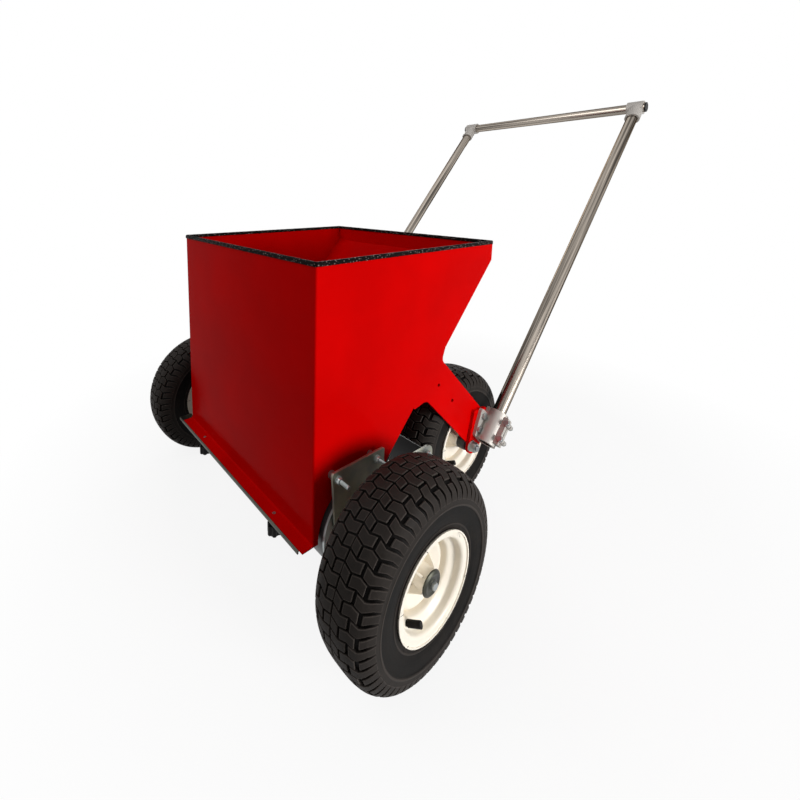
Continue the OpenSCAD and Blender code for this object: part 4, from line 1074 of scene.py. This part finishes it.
class TOPDRESSER_OT_gate_strip(bpy.types.Operator):
    """Makes the slotted gate strip as one sheet with its front edge bent down"""

    bl_idname = "topdresser.gate_strip"
    bl_label = "Gate strip"

    def execute(self, context):
        low, high = reach("gate_plate")
        edge_low, edge_high = reach("gate_edge")
        thickness = high.z - low.z
        # The flat part keeps its slots behind the seam; the bend is made anew in front of it
        front, seam = low.y, low.y + 6
        plate = own_shape("gate_plate")
        everything = plate.verts[:] + plate.edges[:] + plate.faces[:]
        cut = bmesh.ops.bisect_plane(
            plate, geom=everything, plane_co=(0, seam * MM, 0), plane_no=(0, -1, 0), clear_outer=True
        )
        edges = [item for item in cut["geom_cut"] if isinstance(item, bmesh.types.BMEdge)]
        bmesh.ops.edgeloop_fill(plate, edges=edges)
        bmesh.ops.scale(plate, vec=(1 / MM, 1 / MM, 1 / MM), verts=plate.verts)
        corners = [
            (seam, high.z, 0), (front, high.z, 2.6), (front, edge_low.z, 0.6),
            (front + thickness, edge_low.z, 0.6), (front + thickness, low.z, 0.9), (seam, low.z, 0),
        ]
        prism(plate, rounded(corners), edge_low.x, edge_high.x)
        settle("bent_gate_strip", mesh_of(plate, "bent_gate_strip", crease=40), "gate_plate", "gate_edge")
        return {"FINISHED"}


class TOPDRESSER_OT_hub_washers(bpy.types.Operator):
    """Makes the cupped washers on the front hubs"""

    bl_idname = "topdresser.hub_washers"
    bl_label = "Hub washers"

    def execute(self, context):
        # The right one of the two; the left one is its mirror image
        low, high = solids_of("hub_washers")[1]
        height, radius, bore = high.x - low.x, (high.z - low.z) / 2, 4.4
        corners = [
            (0, bore, 0), (0, radius - 1.2, 0.4), (0.4, radius, 0.5), (2.6, radius - 0.8, 1.6),
            (height, radius - 5.5, 2), (height - 1.3, radius - 11, 2.5), (height - 1.1, 9.6, 0.6),
            (height, 9, 0.5), (height, bore, 0),
        ]
        shape = bmesh.new()
        lathe(shape, rounded(corners, 4), steps=72)
        cupped = mesh_of(shape, "cupped_washer", crease=40)
        right = Matrix.Translation((low.x, (low.y + high.y) / 2, (low.z + high.z) / 2))
        left = Matrix.Scale(-1, 4, (1, 0, 0)) @ right
        pair = joined([moved(cupped, right), moved(cupped, left)], "cupped_hub_washers")
        settle("cupped_hub_washers", pair, "hub_washers")
        return {"FINISHED"}


# Fasteners, each made along X round its own middle from half its length

# Radii of each thread, of its washer's bore and rim, and of the corners of its heads and nuts
M8, M8_BORE, M8_WASHER, M8_CORNERS = 4, 4.1, 8.5, 7.5
M10, M10_CORNERS = 5, 9.8
M16_BORE, M16_WASHER, M16_CORNERS = 8.1, 15.3, 13.8
EAR_BOLT_HALF = 41.8 / 2
ALONG_X = (0, 0, 0)
BACK_ALONG_X = (0, 0, math.pi)


def hex_head(shape, base, top, across_corners):
    """A hexagon along X from its base to its outer face, whose corners are turned off there."""
    sides = 24
    # As (place, the most that the radius reaches as a share of the corners', whether the ring is round)
    levels = [(base, 1.0, False), (top - (top - base) * 0.16, 0.985, False), (top, 0.86, True)]
    rings = []
    for x, limit, is_round in levels:
        ring = []
        for k in range(sides):
            angle = math.tau * k / sides
            corner = angle % (math.pi / 3) - math.pi / 6
            flat = across_corners * math.cos(math.pi / 6) / math.cos(corner)
            radius = across_corners * limit if is_round else min(flat, across_corners * limit)
            ring.append(shape.verts.new((x, radius * math.cos(angle), radius * math.sin(angle))))
        rings.append(ring)
    skin(shape, rings)


def threaded_rod(shape, low, high, radius, plain_to=None):
    """A rod along X with thread grooves from plain_to up to its end."""
    pitch = sizes().thread_pitch / MM
    # The chamfer's length, and the radii of the grooves and of the tip as shares of the rod's
    chamfer, groove, tip = 0.8, 0.76, 0.8
    outline = [(low, 0), (low, radius)]
    x = low if plain_to is None else plain_to
    while x + pitch < high - chamfer:
        outline += [(x, radius), (x + pitch / 2, radius * groove)]
        x += pitch
    outline += [(x, radius), (high - chamfer, radius), (high, radius * tip), (high, 0)]
    lathe(shape, outline, steps=20, closed=False)


def washer(shape, low, high, bore, radius):
    """A flat washer along X with eased edges."""
    lathe(shape, rounded([(low, bore, 0), (low, radius, 0.3), (high, radius, 0.3), (high, bore, 0)], 2), 32)


def plate_bolt(shape, half):
    """An M8 bolt with a domed head, plain up to the plate."""
    head = [(-half, 0, 0), (-half, 7.4, 2), (-half + 4.5, 7.6, 0.4), (-half + 4.5, 0, 0)]
    lathe(shape, rounded(head, 3), 32)
    threaded_rod(shape, -half + 4, half, M8, plain_to=-half + 12)


def plate_nut(shape, half):
    """An M8 nut on its washer."""
    washer(shape, -half, -half + 1.6, M8_BORE, M8_WASHER)
    hex_head(shape, -half + 1.6, half, M8_CORNERS)


def cross_bolt(shape, half):
    """An M8 bolt whose nut shows near its tip."""
    hex_head(shape, -half + 5.3, -half, M8_CORNERS)
    threaded_rod(shape, -half + 5, half, M8, plain_to=-half + 9)
    hex_head(shape, half - 14, half - 7.5, M8_CORNERS)


def m10_bolt(shape, half):
    """An M10 bolt whose head shows."""
    threaded_rod(shape, -half, half - 6, M10)
    hex_head(shape, half - 6.4, half, M10_CORNERS)


def m8_bolt(shape, half):
    """An M8 bolt whose head shows."""
    threaded_rod(shape, -half, half - 5, M8)
    hex_head(shape, half - 5.3, half, M8_CORNERS)


def ear_bolt(shape, _):
    """An M8 bolt through a clamp's ears, with a washer under its head and a nut behind them."""
    half = EAR_BOLT_HALF
    washer(shape, half - 5.3, half - 3.8, M8_BORE, M8_WASHER)
    hex_head(shape, half - 3.8, half + 1, M8_CORNERS)
    threaded_rod(shape, -half, half - 5, M8)
    hex_head(shape, -half + 10.5, -half + 4, M8_CORNERS)


def axle_nut(shape, half):
    """An M16 nut on its washer."""
    washer(shape, -half, -half + 3, M16_BORE, M16_WASHER)
    hex_head(shape, -half + 3, half, M16_CORNERS)


def half_length(box):
    """Half the reach of a solid along X."""
    return (box[1].x - box[0].x) / 2


def outward(box):
    """The turn that points a fastener away from the middle of the machine."""
    return ALONG_X if (box[0] + box[1]).x > 0 else BACK_ALONG_X


def fastener_group(node, make, pick=lambda box: True, turn=outward):
    """Makes one fastener and sets it on the middle of each solid that pick takes."""
    boxes = [box for box in solids_of(node) if pick(box)]
    shape = bmesh.new()
    make(shape, half_length(boxes[0]))
    mesh = mesh_of(shape, node + "_one", crease=30)
    places = [((box[0] + box[1]) / 2, turn(box)) for box in boxes]
    return set_on_places(mesh, node, places, finish_for(node))


class TOPDRESSER_OT_fasteners(bpy.types.Operator):
    """Makes the bolts, nuts, studs and screws"""

    bl_idname = "topdresser.fasteners"
    bl_label = "Fasteners"

    def execute(self, context):
        nuts = fastener_group("plate_bolts", plate_nut, lambda box: half_length(box) < 10)
        bolts = fastener_group("plate_bolts", plate_bolt, lambda box: half_length(box) > 10)
        settle("plate_studs_and_nuts", joined([nuts, bolts], "plate_studs_and_nuts"), "plate_bolts")
        away = Vector((0, -math.sin(UPRIGHT_SLOPE), math.cos(UPRIGHT_SLOPE)))
        off_the_slope = tuple(Vector((1, 0, 0)).rotation_difference(away).to_euler())
        for name, node, make, turn in (
            ("cross_plate_bolts", "cross_bolts", cross_bolt, outward),
            ("bearing_hex_bolts", "bearing_bolts", m10_bolt, outward),
            ("hub_hex_bolts", "hub_bolts", m8_bolt, outward),
            ("clamp_base_hex_bolts", "clamp_base_bolts", m10_bolt, outward),
            ("clamp_ear_bolts", "clamp_bolts", ear_bolt, lambda box: off_the_slope),
            ("rear_axle_hex_nuts", "rear_axle_nuts", axle_nut, outward),
        ):
            settle(name, fastener_group(node, make, turn=turn), node)
        return {"FINISHED"}


# Nodes that show their own shape


class TOPDRESSER_OT_carried_nodes(bpy.types.Operator):
    """Gives every node that shows its own shape its finish"""

    bl_idname = "topdresser.carried_nodes"
    bl_label = "Carried-over nodes"

    def execute(self, context):
        for node, piece in frame["nodes"].items():
            if not piece.hide_render:
                piece.data.materials.clear()
                piece.data.materials.append(finish_for(node))
        return {"FINISHED"}


# Stage, in metres


class TOPDRESSER_OT_stage(bpy.types.Operator):
    """Sets up the pale floor, the soft lamps and the camera"""

    bl_idname = "topdresser.stage"
    bl_label = "Stage"

    def execute(self, context):
        scene = context.scene
        scene.view_settings.view_transform = "Standard"
        self.floor()
        self.world(scene)
        # Each lamp's place, target, width and power in watts
        self.lamp("key_from_the_right", (3.1, 0.1, 0.8), (0.1, -0.2, 0.4), 1.3, 81)
        self.lamp("fill_from_the_front", (-0.6, -2.3, 2.4), (0, -0.5, 0.5), 1.7, 20)
        self.lamp("fill_from_behind", (-2.2, 2.4, 1.9), (0, 0, 0.5), 2.0, 34)
        self.lamp("light_from_above", (0.6, -0.6, 3.4), (0, 0, 0.2), 2.4, 7)
        self.camera(scene)
        return {"FINISHED"}

    def floor(self):
        """A matt pale floor near the machine that runs out into the plain white behind it."""
        far, level = 30.0, -0.0004
        mesh = bpy.data.meshes.new("floor")
        corners = [(-far, -far, level), (far, -far, level), (far, far, level), (-far, far, level)]
        mesh.from_pydata(corners, [], [(0, 1, 2, 3)])
        surface = material, tree, shader, place = new_surface("matt_studio_floor", roughness=0.9)
        # The floor is hidden by white to 0.88 up to 0.8 m from the middle, and fully from 1.4 m on
        away = add(tree, "ShaderNodeVectorMath", {0: place}, operation="LENGTH").outputs["Value"]
        faded = add(tree, "ShaderNodeMapRange", {0: away, 1: 0.8, 2: 1.4, 3: 0.88, 4: 1.0})
        white = add(tree, "ShaderNodeEmission", {"Color": (1, 1, 1, 1), "Strength": 1.0})
        rays = add(tree, "ShaderNodeLightPath").outputs
        dress(surface, colour=(rays["Is Camera Ray"], linear("#8c8c8c"), linear("#f4f4f4")))
        straight = {0: rays["Is Camera Ray"], 1: rays["Is Glossy Ray"]}
        seen = add(tree, "ShaderNodeMath", straight, operation="ADD", use_clamp=True)
        amount = add(tree, "ShaderNodeMath", {0: seen.outputs[0], 1: faded.outputs[0]}, operation="MULTIPLY")
        mixed = add(
            tree, "ShaderNodeMixShader", {0: amount.outputs[0], 1: shader.outputs[0], 2: white.outputs[0]}
        )
        tree.links.new(mixed.outputs[0], tree.nodes["Material Output"].inputs["Surface"])
        mesh.materials.append(material)
        put_in_scene("floor", mesh)

    def world(self, scene):
        """A dim sky for the light, which the camera and the mirror-like pieces see as white."""
        world = bpy.data.worlds.new("white_studio")
        scene.world = world
        world.use_nodes = True
        tree = world.node_tree
        tree.nodes.clear()
        rays = add(tree, "ShaderNodeLightPath").outputs
        shown = rays["Is Camera Ray"]
        for kind in ("Is Glossy Ray", "Is Transmission Ray"):
            both = {0: shown, 1: rays[kind]}
            shown = add(tree, "ShaderNodeMath", both, operation="ADD", use_clamp=True).outputs[0]
        soft = add(tree, "ShaderNodeBackground", {"Color": (1, 1, 1, 1), "Strength": 0.18})
        white = add(tree, "ShaderNodeBackground", {"Color": (1, 1, 1, 1), "Strength": 1.0})
        mixed = add(tree, "ShaderNodeMixShader", {0: shown, 1: soft.outputs[0], 2: white.outputs[0]})
        add(tree, "ShaderNodeOutputWorld", {"Surface": mixed.outputs[0]})

    def lamp(self, name, place, target, size, power):
        """A round soft lamp that points at its target."""
        data = bpy.data.lights.new(name, "AREA")
        data.shape = "DISK"
        data.size = size
        data.energy = power
        lamp = put_in_scene(name, data)
        lamp.location = place
        lamp.rotation_euler = (Vector(target) - Vector(place)).to_track_quat("-Z", "Y").to_euler()

    def camera(self, scene):
        """The camera, as solved from the hopper's edges and the outlines of the wheels."""
        data = bpy.data.cameras.new("camera")
        data.sensor_width = 36
        data.lens = 18.604
        data.shift_x = 0.1288
        data.shift_y = -0.1823
        camera = put_in_scene("camera", data)
        camera.location = (0.8319, -1.1635, 0.8571)
        camera.rotation_euler = (math.radians(81.6726), math.radians(-0.26), math.radians(53.1038))
        scene.camera = camera


# Panel and registration


class TOPDRESSER_PT_panel(bpy.types.Panel):
    """Lists the topdresser's sizes, colours and steps"""

    bl_idname = "TOPDRESSER_PT_panel"
    bl_label = "Topdresser"
    bl_space_type = "VIEW_3D"
    bl_region_type = "UI"
    bl_category = "Topdresser"

    def draw(self, context):
        for group in (context.scene.topdresser_sizes, context.scene.topdresser_colours):
            box = self.layout.box()
            for name in group.__annotations__:
                box.prop(group, name)
        for step in STEPS:
            self.layout.operator(step.bl_idname)


STEPS = (
    TOPDRESSER_OT_tyres,
    TOPDRESSER_OT_rims,
    TOPDRESSER_OT_edge_trim,
    TOPDRESSER_OT_eased_pieces,
    TOPDRESSER_OT_gate_strip,
    TOPDRESSER_OT_hub_washers,
    TOPDRESSER_OT_fasteners,
    TOPDRESSER_OT_carried_nodes,
    TOPDRESSER_OT_stage,
)
CLASSES = (TopdresserSizes, TopdresserColours, *STEPS, TOPDRESSER_PT_panel)


def register():
    for kind in CLASSES:
        bpy.utils.register_class(kind)
    bpy.types.Scene.topdresser_sizes = PointerProperty(type=TopdresserSizes)
    bpy.types.Scene.topdresser_colours = PointerProperty(type=TopdresserColours)


def unregister():
    del bpy.types.Scene.topdresser_colours
    del bpy.types.Scene.topdresser_sizes
    for kind in reversed(CLASSES):
        bpy.utils.unregister_class(kind)


def main():
    """Dresses the frame."""
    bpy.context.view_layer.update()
    register()
    for step in STEPS:
        space, name = step.bl_idname.split(".")
        getattr(getattr(bpy.ops, space), name)()


if __name__ == "__main__":
    main()
